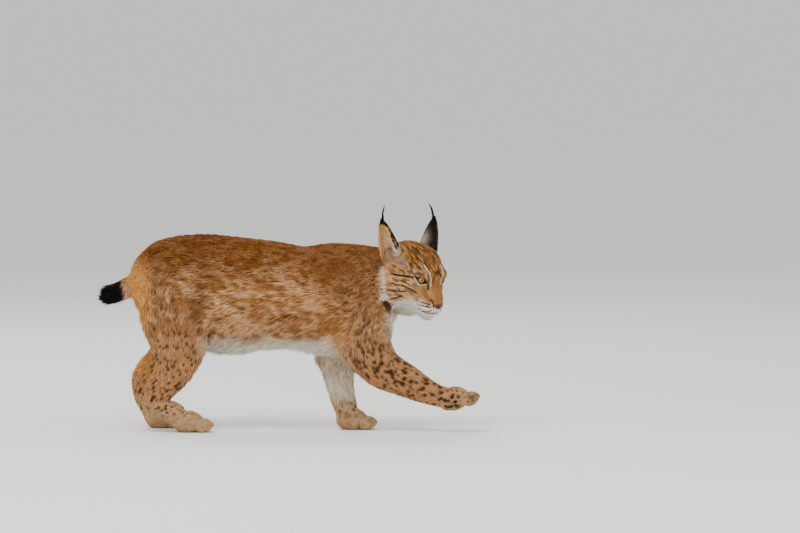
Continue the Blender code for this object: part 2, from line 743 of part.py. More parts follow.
def carved_head():
    """The head: blended masses, then lids, eye sockets, nose, nostrils, lips and the line of the mouth."""
    masses = skull_pieces("fine_") + [tube(NECK, "fine_neck", sides=24)]
    skull = blended(masses, "skull", SKULL_VOXEL, 3 * HEAD_TRIANGLES, relax=SKULL_RELAX)
    head = blended([skull] + face_pieces(), "head", HEAD_VOXEL, HEAD_TRIANGLES, relax=HEAD_RELAX)
    frame = head_frame()
    lower_lip = strand(mouth_path(head, drop=0.0045)[2:-2], 0.0030, "lower_lip", ends=0.3)
    mouth = strand(mouth_path(head), MOUTH_WIDTH / 2, "mouth")
    added = [lower_lip, ball((-0.0100, 0, 0.0012), (0.0106, 0.0148, 0.0100), "pad", frame, segments=18)]
    cuts = [mouth]
    for side in (-1, 1):
        added.append(eyeball(side, EYE_RADIUS + LID_THICKNESS, "lid"))
        nostril = frame @ Matrix.Translation((0.0005, side * 0.0068, 0.0)) @ Matrix.Rotation(side * 0.5, 4, "X")
        cuts.append(ball((0, 0, 0), (0.0060, 0.0036, 0.0026), "nostril", nostril, segments=10))
        slit = frame @ Matrix.Translation((-0.004, side * 0.0125, 0.0005)) @ Matrix.Rotation(-side * 0.4, 4, "X")
        cuts.append(ball((0, 0, 0), (0.0050, 0.0052, 0.0014), "slit", slit, segments=10))
    boolean(head, added, "UNION")
    boolean(head, cuts, "DIFFERENCE")
    openings = [lid_opening(side, "opening") for side in (-1, 1)]
    boolean(head, openings, "DIFFERENCE")
    sockets = [eyeball(side, EYE_RADIUS + GAP, "socket") for side in (-1, 1)]
    boolean(head, sockets, "DIFFERENCE")
    behind = [half_space(place, -way, "behind", GAP) for place, way in (HEAD_CUT, NECK_CUT)]
    boolean(head, behind, "DIFFERENCE")
    return keep_largest(head)


def finish(thing, colour, roughness=0.9):
    """Name the mesh after its part, shade it smooth and give it a coat of its own."""
    thing.data.name = thing.name
    coat = bpy.data.materials.new(thing.name + "_coat")
    coat.use_nodes = True
    surface = coat.node_tree.nodes["Principled BSDF"]
    surface.inputs["Base Color"].default_value = (*colour, 1)
    surface.inputs["Roughness"].default_value = roughness
    surface.inputs["Metallic"].default_value = 0
    thing.data.materials.clear()
    thing.data.materials.append(coat)
    thing.data.shade_smooth()
    thing.data.set_sharp_from_angle(angle=math.radians(50))
    return thing


def take(whole, name, cells):
    """Part one named piece from the whole: cells(grow) gives the closed shapes that hold it."""
    part = copy_of(whole, name)
    cell = cells(0.0)
    if len(cell) > 1:
        boolean(cell[0], cell[1:], "UNION")
    boolean(part, cell[:1], "INTERSECT")
    boolean(whole, cells(GAP), "DIFFERENCE")
    keep_largest(part)
    keep_largest(whole)
    return part


def half_space(place, direction, name, grow, reach=0.30):
    """A large box that begins at a place and lies in a direction from it."""
    turn = Vector(direction).to_track_quat("X", "Z").to_matrix().to_4x4()
    turn = Matrix.Translation(place) @ turn
    return block((reach, 0, 0), (reach, reach, reach), name, turn, grow)


def thigh_cells(side, grow):
    """The thigh: an oval on the flank, with all of the leg below it."""
    return [
        disc((-0.272, side * 0.160, 0.275), (0.108, 0.118), 0.110, "cell", grow=grow),
        block((-0.292, side * 0.155, 0.040), (0.125, 0.150, 0.111), "cell", grow=grow),
        block((-0.301, side * 0.155, 0.170), (0.116, 0.150, 0.040), "cell", grow=grow),
    ]


def shoulder_cells(side, grow):
    """The shoulder and upper arm: an oval on the side of the chest, with all of the leg below it."""
    half = abs(0.30 * side + 0.03) / 2
    middle = side * 0.30 - side * half
    cells = [
        disc((0.158, side * 0.160, 0.275), (0.085, 0.120), 0.104, "cell", grow=grow),
        block((0.265, middle, 0.045), (0.22, half, 0.121), "cell", grow=grow),
    ]
    if side < 0:
        cells.append(block((0.300, -0.170, 0.130), (0.105, 0.125, 0.105), "cell", grow=grow))
    return cells


def neck_cell(grow):
    """The neck and all beyond it, above the forelegs."""
    place, direction = NECK_CUT
    turn = Matrix.Translation(place) @ direction.to_track_quat("X", "Z").to_matrix().to_4x4()
    return [block((0.2, 0, 0), (0.2, 0.2, 0.22), "cell", turn, grow)]


def part_limb(whole, name, cells):
    """Part a whole limb from the body, and then into its own lengths."""
    upper = take(whole, UPPER_NAMES[name], cells)
    for piece, place, direction in reversed(LIMB_CUTS[name]):
        yield take(
            upper, piece, lambda grow, p=place, d=direction: [half_space(p, d, "cell", grow)]
        )
    yield upper


def main():
    """Build the whole animal and part it."""
    clear_scene()
    limbs = {
        "foreleg_right": FORELEG_RIGHT,
        "foreleg_left": FORELEG_LEFT,
        "hind_leg_right": HIND_LEG_RIGHT,
        "hind_leg_left": HIND_LEG_LEFT,
    }
    pieces = [trunk(), tube(NECK, "neck_mass", sides=24), tube(TAIL, "tail_mass", sides=16)]
    for name, stations in limbs.items():
        pieces.append(tube(stations, name, sides=16))
        pieces += paw(name)
    pieces += skull_pieces("rough_")
    torso = blended(pieces, "torso", BODY_VOXEL, BODY_TRIANGLES, relax=BODY_RELAX)
    boolean(torso, [block((0, 0, -0.5), (1, 1, 0.5), "floor")], "DIFFERENCE")

    neck = take(torso, "neck", neck_cell)
    discard(take(neck, "rough_head", lambda grow: [half_space(*HEAD_CUT, "cell", grow)]))
    parts = [neck]
    parts.append(take(torso, "tail", lambda grow: [half_space(*TAIL_CUT, "cell", grow, TAIL_REACH)]))
    for name in limbs:
        side = -1 if name.endswith("right") else 1
        cells = shoulder_cells if name.startswith("fore") else thigh_cells
        parts += part_limb(torso, name, lambda grow, c=cells, s=side: c(s, grow))
    parts.append(torso)

    head = carved_head()
    parts.append(head)
    named = {thing.name: thing for thing in parts}
    rng = np.random.default_rng(SEED)
    ruff = [piece for side in (-1, 1) for piece in ruff_locks(head, side, rng)]
    with_locks(head, ruff, [neck, torso, named["upper_arm_right"], named["upper_arm_left"]])
    fringe = belly_locks(torso, rng) + chest_locks(torso, rng)
    near_torso = [thing for name, thing in named.items() if name.startswith(("upper", "thigh", "fore", "shank"))]
    with_locks(torso, fringe, near_torso + [neck, head])
    with_locks(named["tail"], tail_locks(named["tail"], rng), [torso])
    for side, word in ((-1, "right"), (1, "left")):
        thigh = named["thigh_" + word]
        with_locks(thigh, thigh_locks(thigh, side, rng), [torso, named["shank_" + word], named["tail"]])
        eye = eyeball(side, EYE_RADIUS, "eye_" + word)
        leaf = ear(side, "ear_" + word)
        boolean(leaf, tuft_locks(side, rng), "UNION")
        seats = [inflated(thing, "seat", 1.5 * GAP) for thing in (head, neck)]
        boolean(leaf, seats, "DIFFERENCE")
        parts += [keep_largest(leaf), eye]
    for thing in parts:
        finish(thing, FUR["amber"] if thing.name.startswith("eye") else FUR["ochre"])


if __name__ == "__main__":
    main()
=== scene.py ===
"""The looks of a life-size Eurasian lynx in its winter coat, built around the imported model.

One skin is worked out as a level surface of blended round masses, with the same named sizes as the solids
but drawn in by the depth of the coat. Over it lie tufts of fur, thin tapered blades that follow the lie of
the coat. Skin and tufts take their colours from the same markings.
"""

import logging
import math
from collections.abc import Callable
from dataclasses import dataclass, replace
from enum import Enum

import bmesh
import bpy
import numpy as np
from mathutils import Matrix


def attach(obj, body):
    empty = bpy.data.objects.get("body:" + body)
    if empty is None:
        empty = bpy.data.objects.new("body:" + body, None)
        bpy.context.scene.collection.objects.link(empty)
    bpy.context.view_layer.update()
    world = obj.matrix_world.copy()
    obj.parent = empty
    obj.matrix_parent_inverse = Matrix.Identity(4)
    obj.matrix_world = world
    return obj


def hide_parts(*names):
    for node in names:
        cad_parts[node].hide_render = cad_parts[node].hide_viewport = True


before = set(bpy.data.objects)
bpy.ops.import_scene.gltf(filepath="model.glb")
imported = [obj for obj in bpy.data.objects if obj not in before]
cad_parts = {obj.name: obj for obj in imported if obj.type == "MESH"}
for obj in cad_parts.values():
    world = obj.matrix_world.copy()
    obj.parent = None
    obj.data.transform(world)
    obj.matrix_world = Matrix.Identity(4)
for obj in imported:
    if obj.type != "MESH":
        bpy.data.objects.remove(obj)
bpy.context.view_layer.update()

Array = np.ndarray
Triple = tuple[float, float, float]
Colour = tuple[float, float, float]
Piece = bpy.types.Object
Material = bpy.types.Material
Socket = bpy.types.NodeSocket
LOG = logging.getLogger("lynx")

# An empty block's distance, a shift that keeps the cells of noise above 0, how many points are worked out
# at once, and where the face ends along the head's own X.
FAR = 1.0
NOISE_SHIFT = 100.5
POINTS_AT_ONCE = 40000
FACE_REAR = -0.075


class Side(Enum):
    """The animal's own right and left, with the sign of their Y."""

    RIGHT = -1
    LEFT = 1

    @property
    def word(self) -> str:
        """The side in lower case, as node names end."""
        return self.name.lower()


def lengths(vectors: Array) -> Array:
    """The length of each vector."""
    return np.linalg.norm(vectors, axis=-1)


def unit(vectors: Array) -> Array:
    """Each vector divided by its own length."""
    return vectors / np.maximum(lengths(vectors)[..., None], 1e-9)


def ramp(value: Array, low: float, high: float) -> Array:
    """A smooth step: 3 t t - 2 t t t, where t runs from 0 at low to 1 at high."""
    share = np.clip((value - low) / (high - low), 0, 1)
    return share * share * (3 - 2 * share)


def mix(first: Array | Colour, second: Array | Colour, share: Array) -> Array:
    """Colours first and second, mixed by a share for each row."""
    first = np.asarray(first)
    return first + (np.asarray(second) - first) * np.asarray(share)[..., None]


def bell(first: Array, second: Array, middle: tuple, width: tuple) -> Array:
    """A soft round patch: exp of minus the sum of the squares of (coordinate - middle) / width."""
    return np.exp(-(((first - middle[0]) / width[0]) ** 2 + ((second - middle[1]) / width[1]) ** 2))


def squared(vectors: Array, normal: Array) -> Array:
    """Vectors made square to unit normals, and of length 1."""
    return unit(vectors - normal * (vectors * normal).sum(axis=1, keepdims=True))


def facing(vectors: Array, way: Array) -> Array:
    """Vectors turned round where they point away from a way."""
    return np.where((vectors * way).sum(axis=1, keepdims=True) < 0, -vectors, vectors)


def turned(axis: str, angle: float) -> Array:
    """A rotation matrix about one of the axes x, y or z.

    Args:
        axis: The axis by name.
        angle: The angle in radians, counterclockwise.

    Returns:
        A 3 by 3 matrix that turns column vectors.
    """
    i = "xyz".index(axis)
    j, k = (i + 1) % 3, (i + 2) % 3
    matrix = np.eye(3)
    matrix[j, j] = matrix[k, k] = math.cos(angle)
    matrix[k, j] = math.sin(angle)
    matrix[j, k] = -math.sin(angle)
    return matrix


def hashed(cells: Array, seed: int) -> Array:
    """A repeatable random number from 0 to 1 for each row of whole numbers.

    The three numbers are multiplied by large primes and mixed by shifts and exclusive ors.
    """
    i, j, k = np.moveaxis(cells.astype(np.int64), -1, 0)
    key = i * 73856093 ^ j * 19349663 ^ k * 83492791 ^ (seed * 2654435761)
    key = (key ^ (key >> 13)) * 1274126177 & 0x7FFFFFFF
    key = (key ^ (key >> 11)) * 69069 & 0x7FFFFFFF
    return ((key ^ (key >> 15)) & 0xFFFFF) / float(0xFFFFF)


def noise(places: Array, size: float, seed: int) -> Array:
    """Smooth noise from 0 to 1: random numbers at the corners of cubes, blended by smooth steps."""
    grid = places / size + NOISE_SHIFT
    base = np.floor(grid)
    share = ramp(grid - base, 0, 1)
    total = np.zeros(len(places))
    for corner in np.ndindex(2, 2, 2):
        weight = np.prod(np.where(corner, share, 1 - share), axis=1)
        total += weight * hashed(base + np.array(corner), seed)
    return total


def spots(places: Array, size: float, radius: float, presence: float, seed: int) -> Array:
    """Round spots, as shares from 0 to 1: one jittered centre to a cube, kept with a chance.

    Args:
        places: Points.
        size: Side of the cubes, which is the mean distance from spot to spot.
        radius: Mean radius of a spot.
        presence: Chance that a cube has its spot.
        seed: Number that picks the pattern.

    Returns:
        How deep each point lies in its spot.
    """
    grid = places / size + NOISE_SHIFT
    base = np.floor(grid)
    deepest = np.zeros(len(places))
    for offset in np.ndindex(3, 3, 3):
        cell = base + np.array(offset) - 1
        jitter = np.stack([hashed(cell, seed + i) for i in range(3)], axis=1)
        reach = radius / size * (0.65 + 0.7 * hashed(cell, seed + 3))
        there = hashed(cell, seed + 4) < presence
        away = lengths(cell + 0.15 + 0.7 * jitter - grid)
        deepest = np.maximum(deepest, there * (1 - ramp(away, reach * 0.65, reach * 1.15)))
    return deepest


def smooth_path(stations: tuple, steps: int) -> Array:
    """A Catmull-Rom curve through rows of numbers, steps rows to a span."""
    rows = np.array(stations, float)
    ends = np.vstack([2 * rows[0] - rows[1], rows, 2 * rows[-1] - rows[-2]])
    t = (np.arange(steps) / steps)[:, None]
    spans = []
    for i in range(len(rows) - 1):
        a, b, c, d = ends[i:i + 4]
        cubic = 2 * b + (c - a) * t + (2 * a - 5 * b + 4 * c - d) * t**2 + (3 * b - a - 3 * c + d) * t**3
        spans.append(0.5 * cubic)
    return np.vstack(spans + [rows[-1:]])


def shell_distance(local: Array, radii: Array) -> Array:
    """About the distance from an ellipsoid: k0 (k0 - 1) / k1, k0 the length of p / r and k1 of p / r / r."""
    local = local / radii
    first = lengths(local)
    return first * (first - 1) / np.maximum(lengths(local / radii), 1e-6)


WHOLE = (slice(None),) * 3
CELL_CORNERS = np.array(list(np.ndindex(2, 2, 2)))
CELL_EDGES = [(i, i + step) for i in range(8) for step in (1, 2, 4) if not i & step]


class Clay:
    """A block of space filled with distances to a surface, where masses are blended and carved."""

    def __init__(self, low: Triple, high: Triple, step: float) -> None:
        """Fill the block with far distances.

        Args:
            low: Lowest corner.
            high: Highest corner.
            step: Distance between grid points.
        """
        self.low = np.array(low)
        self.step = step
        self.count = np.ceil((np.array(high) - self.low) / step).astype(int) + 1
        self.value = np.full(self.count, FAR, np.float32)

    def window(self, low: Array, high: Array) -> tuple[tuple, Array]:
        """The part of the grid between two corners, as slices, and its points."""
        start = np.clip(np.floor((low - self.low) / self.step).astype(int), 0, self.count - 1)
        stop = np.clip(np.ceil((high - self.low) / self.step).astype(int) + 1, 1, self.count)
        axes = [self.low[i] + self.step * np.arange(start[i], stop[i]) for i in range(3)]
        grid = np.stack(np.meshgrid(*axes, indexing="ij"), axis=-1).astype(np.float32)
        return tuple(slice(a, b) for a, b in zip(start, stop)), grid

    def join(self, window: tuple, distance: Array, reach: float) -> None:
        """Blend a mass in: the lesser distance, less a fillet of (reach - difference) squared / 4 reach."""
        old = self.value[window]
        near = np.maximum(reach - np.abs(old - distance), 0)
        self.value[window] = np.minimum(old, distance) - near * near / (4 * reach)

    def cut(self, window: tuple, distance: Array, reach: float) -> None:
        """Carve a shape out: the greater of the distance and the shape's own turned round, with a fillet."""
        old = self.value[window]
        near = np.maximum(reach - np.abs(old + distance), 0)
        self.value[window] = np.maximum(old, -distance) + near * near / (4 * reach)

    def ball(
        self, middle: Triple, radii: Triple, reach: float, axes: Array | None = None, carve: bool = False
    ) -> None:
        """Blend in, or carve out, an ellipsoid.

        Args:
            middle: Its middle.
            radii: Its three radii.
            reach: Width of the fillet.
            axes: Its axes as columns, or none for the block's own.
            carve: Whether it is carved out.
        """
        axes = np.eye(3) if axes is None else axes
        half = np.abs(axes) @ np.array(radii) + reach + 2 * self.step
        window, grid = self.window(middle - half, middle + half)
        middle, radii, axes = (np.array(rows, np.float32) for rows in (middle, radii, axes))
        (self.cut if carve else self.join)(window, shell_distance((grid - middle) @ axes, radii), reach)

    def tube(self, rows: Array, reach: float, cap: float = 1.0) -> None:
        """Blend in an elliptic tube along a path.

        Each span is an ellipsoid swept from one row to the next, with radii that change evenly on the way.

        Args:
            rows: Points of the path, with half widths across and fore and aft.
            reach: Width of the fillet.
            cap: How far the start's cap stands out, as a share of a round one.
        """
        path, radii = rows[:, :3], rows[:, 3:5]
        most = radii.max() + reach + 2 * self.step
        window, grid = self.window(path.min(axis=0) - most, path.max(axis=0) + most)
        nearest = np.full(grid.shape[:3], FAR, np.float32)
        for start, end, first, last in zip(path[:-1], path[1:], radii[:-1], radii[1:]):
            span = end - start
            along = span / np.linalg.norm(span)
            across = unit(np.array([0.0, 1.0, 0.0]) - along * along[1])
            axes = np.stack([across, np.cross(along, across), along], axis=1).astype(np.float32)
            local = (grid - start.astype(np.float32)) @ axes
            length = np.float32(np.linalg.norm(span))
            share = np.clip(local[..., 2] / length, 0, 1)
            local[..., 2] -= share * length
            wide = first[0] + (last[0] - first[0]) * share
            deep = first[1] + (last[1] - first[1]) * share
            bulge = np.minimum(wide, deep) * np.where((share == 0) & (start == path[0]).all(), cap, 1)
            size = np.stack([wide, deep, bulge], axis=-1).astype(np.float32)
            nearest = np.minimum(nearest, shell_distance(local, size))
        self.join(window, nearest, reach)

    def at(self, places: Array) -> Array:
        """The distances at any points, blended from the eight grid points round each."""
        grid = np.clip((places - self.low) / self.step, 0, self.count - 1.001)
        base = np.floor(grid).astype(int)
        share = grid - base
        total = np.zeros(len(places))
        for corner in CELL_CORNERS:
            weight = np.prod(np.where(corner, share, 1 - share), axis=1)
            total += weight * self.value[tuple((base + corner).T)]
        return total

    def outward(self, places: Array) -> Array:
        """The direction in which the distance grows fastest, from differences over one step."""
        slopes = []
        for axis in np.eye(3) * self.step:
            slopes.append(self.at(places + axis) - self.at(places - axis))
        return unit(np.stack(slopes, axis=1))

    def surface(self) -> tuple[Array, Array]:
        """The level surface at distance 0, as points and quads that face outwards.

        Each cell with corners on both sides has one point, the mean of the places where its edges cross the
        level. Each grid edge that crosses it joins the points of the four cells round it.
        """
        inside = self.value < 0
        nx, ny, nz = self.count - 1
        total = np.zeros((nx, ny, nz), np.int8)
        for dx, dy, dz in CELL_CORNERS:
            total += inside[dx:nx + dx, dy:ny + dy, dz:nz + dz]
        mixed = (total > 0) & (total < 8)
        number = np.full(mixed.shape, -1)
        number[mixed] = np.arange(mixed.sum())
        cells = np.argwhere(mixed)
        place = np.zeros((len(cells), 3))
        hits = np.zeros(len(cells))
        for i, j in CELL_EDGES:
            start, end = CELL_CORNERS[i], CELL_CORNERS[j]
            first = self.value[tuple((cells + start).T)].astype(float)
            last = self.value[tuple((cells + end).T)].astype(float)
            crosses = (first < 0) != (last < 0)
            share = np.where(crosses, first / np.where(crosses, first - last, 1), 0)
            place += crosses[:, None] * (start + (end - start) * share[:, None])
            hits += crosses
        points = self.low + self.step * (cells + place / hits[:, None])
        quads = []
        for axis in range(3):
            side, up = np.roll(np.eye(3, dtype=int), -axis, axis=0)[[1, 2]]
            start = inside.take(range(0, self.count[axis] - 1), axis=axis)
            end = inside.take(range(1, self.count[axis]), axis=axis)
            edge = np.argwhere(start != end)
            edge = edge[((edge * (side + up))[:, np.flatnonzero(side + up)] > 0).all(axis=1)]
            edge = edge[(edge < np.array([nx, ny, nz])).all(axis=1)]
            ring = [edge, edge - side, edge - side - up, edge - up]
            quad = np.stack([number[tuple(cell.T)] for cell in ring], axis=1)
            outward = start[tuple(edge.T)]
            quads.append(np.where(outward[:, None], quad, quad[:, ::-1]))
        return points, np.vstack(quads)


def new_piece(
    name: str,
    points: Array,
    faces: Array,
    attributes: dict[str, Array] | None = None,
    material: Material | None = None,
) -> Piece:
    """Make a smooth-shaded mesh object from arrays.

    Args:
        name: The piece's name.
        points: Vertices, one row each.
        faces: Rows of three or four indices.
        attributes: Colours or numbers for each vertex, by name.
        material: Its finish.

    Returns:
        The new object, at the origin.
    """
    mesh = bpy.data.meshes.new(name)
    mesh.vertices.add(len(points))
    mesh.vertices.foreach_set("co", np.asarray(points, np.float32).ravel())
    count, sides = faces.shape
    mesh.loops.add(count * sides)
    mesh.loops.foreach_set("vertex_index", faces.astype(np.int32).ravel())
    mesh.polygons.add(count)
    mesh.polygons.foreach_set("loop_start", np.arange(count, dtype=np.int32) * sides)
    mesh.update(calc_edges=True)
    mesh.polygons.foreach_set("use_smooth", np.ones(count, bool))
    for word, values in (attributes or {}).items():
        flat = values.ndim == 1
        layer = mesh.attributes.new(word, "FLOAT" if flat else "FLOAT_COLOR", "POINT")
        rows = values if flat else np.column_stack([values, np.ones(len(values))])
        layer.data.foreach_set("value" if flat else "color", rows.astype(np.float32).ravel())
    if material is not None:
        mesh.materials.append(material)
    piece = bpy.data.objects.new(name, mesh)
    bpy.context.scene.collection.objects.link(piece)
    return piece


def grid_faces(rows: int, columns: int, closed: bool) -> Array:
    """Quads of a grid of points, row after row, closed round the columns where asked."""
    i, j = np.meshgrid(np.arange(rows - 1), np.arange(columns - (not closed)), indexing="ij")
    k = (j + 1) % columns
    here, ahead = i * columns, (i + 1) * columns
    return np.stack([here + j, here + k, ahead + k, ahead + j], axis=-1).reshape(-1, 4)


def mend(piece: Piece, weld: bool) -> None:
    """Close a piece, its poles by welding or its open ends by faces, and turn all faces outwards."""
    shape = bmesh.new()
    shape.from_mesh(piece.data)
    if weld:
        bmesh.ops.remove_doubles(shape, verts=shape.verts, dist=1e-6)
    else:
        bmesh.ops.holes_fill(shape, edges=shape.edges, sides=12)
    bmesh.ops.recalc_face_normals(shape, faces=shape.faces)
    shape.to_mesh(piece.data)
    shape.free()


def rgb(red: int, green: int, blue: int) -> Colour:
    """A colour as seen on a screen, from 0 to 255, turned into the linear one that shaders take."""
    return tuple(((channel / 255 + 0.055) / 1.055) ** 2.4 for channel in (red, green, blue))


@dataclass(frozen=True)
class Palette:
    """The colours of the coat."""

    back: Colour = rgb(121, 66, 8)
    spine: Colour = rgb(84, 46, 10)
    flank: Colour = rgb(206, 150, 94)
    flank_deep: Colour = rgb(148, 92, 34)
    pinkish: Colour = rgb(230, 184, 142)
    orange: Colour = rgb(234, 166, 88)
    cream: Colour = rgb(250, 240, 216)
    leg: Colour = rgb(200, 146, 98)
    foot: Colour = rgb(206, 172, 126)
    spot: Colour = rgb(36, 20, 10)
    soft_spot: Colour = rgb(92, 54, 20)
    black: Colour = rgb(12, 8, 8)
    tail: Colour = rgb(224, 152, 84)
    crown: Colour = rgb(154, 100, 42)
    face: Colour = rgb(222, 170, 114)
    white: Colour = rgb(248, 238, 220)
    rust: Colour = rgb(160, 102, 54)
    nose: Colour = rgb(118, 64, 48)
    grey: Colour = rgb(178, 158, 140)
    ear_inside: Colour = rgb(238, 196, 146)


PALETTE = Palette()


@dataclass(frozen=True)
class Head:
    """The head's own frame and sizes: X along the nose, Y to the left, Z up, the nose tip at its origin."""

    tip: Triple = (0.363, -0.090, 0.299)
    yaw: float = math.radians(42)
    pitch: float = math.radians(29)
    eye_radius: float = 0.0150
    eye_place: Triple = (-0.0665, 0.0345, 0.0410)
    eye_turn: float = math.radians(24)
    lid_half_width: float = 0.0130
    lid_above: float = 0.0056
    lid_below: float = 0.0078
    lid_tilt: float = math.radians(14)
    lid: float = 0.0019

    @property
    def axes(self) -> Array:
        """The frame's axes as columns in the world."""
        return turned("z", -self.yaw) @ turned("y", self.pitch)

    def world(self, places: Array) -> Array:
        """Points of the head's frame in the world."""
        return np.asarray(places) @ self.axes.T + np.array(self.tip)

    def local(self, places: Array) -> Array:
        """World points in the head's frame."""
        return (places - np.array(self.tip)) @ self.axes

    def gaze_axes(self, side: Side) -> Array:
        """The axes of one eye in the head's frame: X out along the gaze, Z up."""
        return turned("z", side.value * self.eye_turn) @ turned("y", -math.radians(8))

    def eye_middle(self, side: Side) -> Array:
        """The middle of one eyeball in the head's frame."""
        return np.array(self.eye_place) * (1, side.value, 1)

    def lid_shape(self, places: Array, side: Side) -> tuple[Array, Array, Array]:
        """How points of the head's frame lie to the almond between the lids.

        Returns:
            The reach along the gaze, the height over the lids' own middle line, and the radius as a share of
            the almond: across over the half width, and up over the half height, added as squares.
        """
        local = (places - self.eye_middle(side)) @ self.gaze_axes(side)
        across = local[..., 1] * side.value
        up = local[..., 2]
        wide = across * math.cos(self.lid_tilt) + up * math.sin(self.lid_tilt)
        tall = up * math.cos(self.lid_tilt) - across * math.sin(self.lid_tilt)
        narrow = 1 - 0.35 * np.abs(wide) / self.lid_half_width
        half = np.where(tall > 0, self.lid_above, self.lid_below) * np.maximum(narrow, 0.3)
        share = np.hypot(wide / self.lid_half_width, tall / half)
        return local[..., 0], tall, share


HEAD = Head()


@dataclass(frozen=True)
class Path:
    """A round stretch of the body: its stations, the depth of its coat and where its hair points.

    A station is a place and two half widths, across and fore and aft.
    """

    name: str
    stations: tuple
    depth: float
    backwards: bool = False
    reach: float = 0.020
    cap: float = 1.0

    def rows(self, steps: int = 4) -> Array:
        """Points of the path with half widths across and fore and aft, drawn in by the coat's depth."""
        rows = smooth_path(self.stations, steps)
        rows[:, 3:] -= self.depth
        return rows


def trunk_stations() -> tuple:
    """The trunk's stations: middle, half width and half height, from heights of the back and the belly."""
    profile = (
        (-0.330, 0.402, 0.318, 0.050),
        (-0.315, 0.440, 0.278, 0.076),
        (-0.285, 0.469, 0.240, 0.098),
        (-0.220, 0.479, 0.200, 0.106),
        (-0.140, 0.474, 0.178, 0.107),
        (-0.050, 0.466, 0.186, 0.112),
        (0.030, 0.452, 0.186, 0.112),
        (0.100, 0.458, 0.174, 0.108),
        (0.152, 0.450, 0.175, 0.098),
        (0.188, 0.415, 0.181, 0.080),
        (0.212, 0.362, 0.190, 0.054),
    )
    return tuple((x, 0.0, (top + low) / 2, wide, (top - low) / 2) for x, top, low, wide in profile)


TRUNK = Path("trunk", trunk_stations(), 0.016, backwards=True, cap=0.3)
NECK = Path(
    "neck",
    (
        (0.110, 0.000, 0.362, 0.090, 0.088),
        (0.185, 0.000, 0.372, 0.078, 0.080),
        (0.245, 0.008, 0.385, 0.052, 0.060),
    ),
    0.015,
    backwards=True,
)
TAIL = Path(
    "tail",
    (
        (-0.300, 0.000, 0.380, 0.044, 0.048),
        (-0.354, 0.000, 0.355, 0.033, 0.036),
        (-0.392, 0.000, 0.335, 0.028, 0.030),
        (-0.421, 0.000, 0.324, 0.022, 0.024),
    ),
    0.011,
    reach=0.006,
)
LEG_STATIONS = {
    "foreleg_right": (
        (0.163, -0.060, 0.358, 0.034, 0.058),
        (0.188, -0.066, 0.280, 0.036, 0.064),
        (0.185, -0.075, 0.215, 0.037, 0.062),
        (0.218, -0.078, 0.158, 0.036, 0.052),
        (0.275, -0.080, 0.125, 0.032, 0.043),
        (0.335, -0.081, 0.094, 0.029, 0.032),
        (0.380, -0.081, 0.080, 0.030, 0.026),
    ),
    "foreleg_left": (
        (0.140, 0.062, 0.350, 0.036, 0.062),
        (0.150, 0.070, 0.275, 0.038, 0.060),
        (0.112, 0.060, 0.205, 0.036, 0.050),
        (0.117, 0.045, 0.140, 0.033, 0.040),
        (0.126, 0.030, 0.085, 0.031, 0.034),
        (0.138, 0.022, 0.045, 0.033, 0.032),
    ),
    "hind_leg_right": (
        (-0.285, -0.050, 0.370, 0.044, 0.062),
        (-0.272, -0.070, 0.290, 0.044, 0.081),
        (-0.260, -0.078, 0.220, 0.040, 0.071),
        (-0.268, -0.076, 0.155, 0.035, 0.051),
        (-0.302, -0.072, 0.102, 0.032, 0.037),
        (-0.312, -0.070, 0.068, 0.031, 0.032),
        (-0.270, -0.068, 0.042, 0.033, 0.032),
    ),
    "hind_leg_left": (
        (-0.285, 0.050, 0.370, 0.044, 0.062),
        (-0.274, 0.070, 0.290, 0.044, 0.079),
        (-0.268, 0.078, 0.225, 0.040, 0.068),
        (-0.298, 0.078, 0.172, 0.034, 0.044),
        (-0.345, 0.076, 0.126, 0.030, 0.032),
        (-0.345, 0.074, 0.080, 0.030, 0.031),
        (-0.326, 0.072, 0.042, 0.034, 0.032),
    ),
}
LEGS = tuple(Path(name, stations, 0.0065) for name, stations in LEG_STATIONS.items())
PATHS = (TRUNK, NECK, TAIL) + LEGS


@dataclass(frozen=True)
class Paw:
    """One paw: its place and heading, and the toes fanned ahead of its ball."""

    name: str
    middle: Triple
    heading: float
    tilt: float
    half_width: float = 0.042
    toe_spread: float = math.radians(6)
    toes: int = 4
    depth: float = 0.0030

    @property
    def axes(self) -> Array:
        """The paw's axes as columns: X ahead, Z up."""
        return turned("z", math.radians(self.heading)) @ turned("y", -math.radians(self.tilt))

    def toe_axes(self, i: int) -> tuple[Array, Array]:
        """The axes of one toe and the place of its middle, over the toe's pad."""
        fan = i - (self.toes - 1) / 2
        axes = self.axes @ turned("z", fan * self.toe_spread)
        return axes, np.array(self.middle) + self.axes @ (0.032 - 0.006 * abs(fan), 0.0150 * fan, -0.003)

    def press(self, clay: Clay, extra: float) -> None:
        """Blend the paw's masses into a block, drawn in by the depth of its coat and a little extra."""
        inset = self.depth + extra
        middle = np.array(self.middle)
        ball = (0.038 - inset, self.half_width * 0.92 - inset, 0.029 - inset)
        clay.ball(middle + self.axes @ (-0.010, 0, 0.004), ball, 0.010, self.axes)
        for i in range(self.toes):
            axes, place = self.toe_axes(i)
            toe = (0.0215 - inset, 0.0098 - inset * 0.4, 0.0165 - inset)
            clay.ball(place, toe, 0.0018, axes)
            clay.ball(place + axes @ (0.002, 0, -0.0115), (0.008, 0.0068, 0.0045), 0.002, axes)


PAWS = (
    Paw("foreleg_right", (0.404, -0.082, 0.079), -6, 13),
    Paw("foreleg_left", (0.160, 0.018, 0.0195), -4, 0),
    Paw("hind_leg_right", (-0.228, -0.067, 0.0195), -3, 0, 0.041),
    Paw("hind_leg_left", (-0.298, 0.070, 0.0195), 3, 0, 0.041),
)


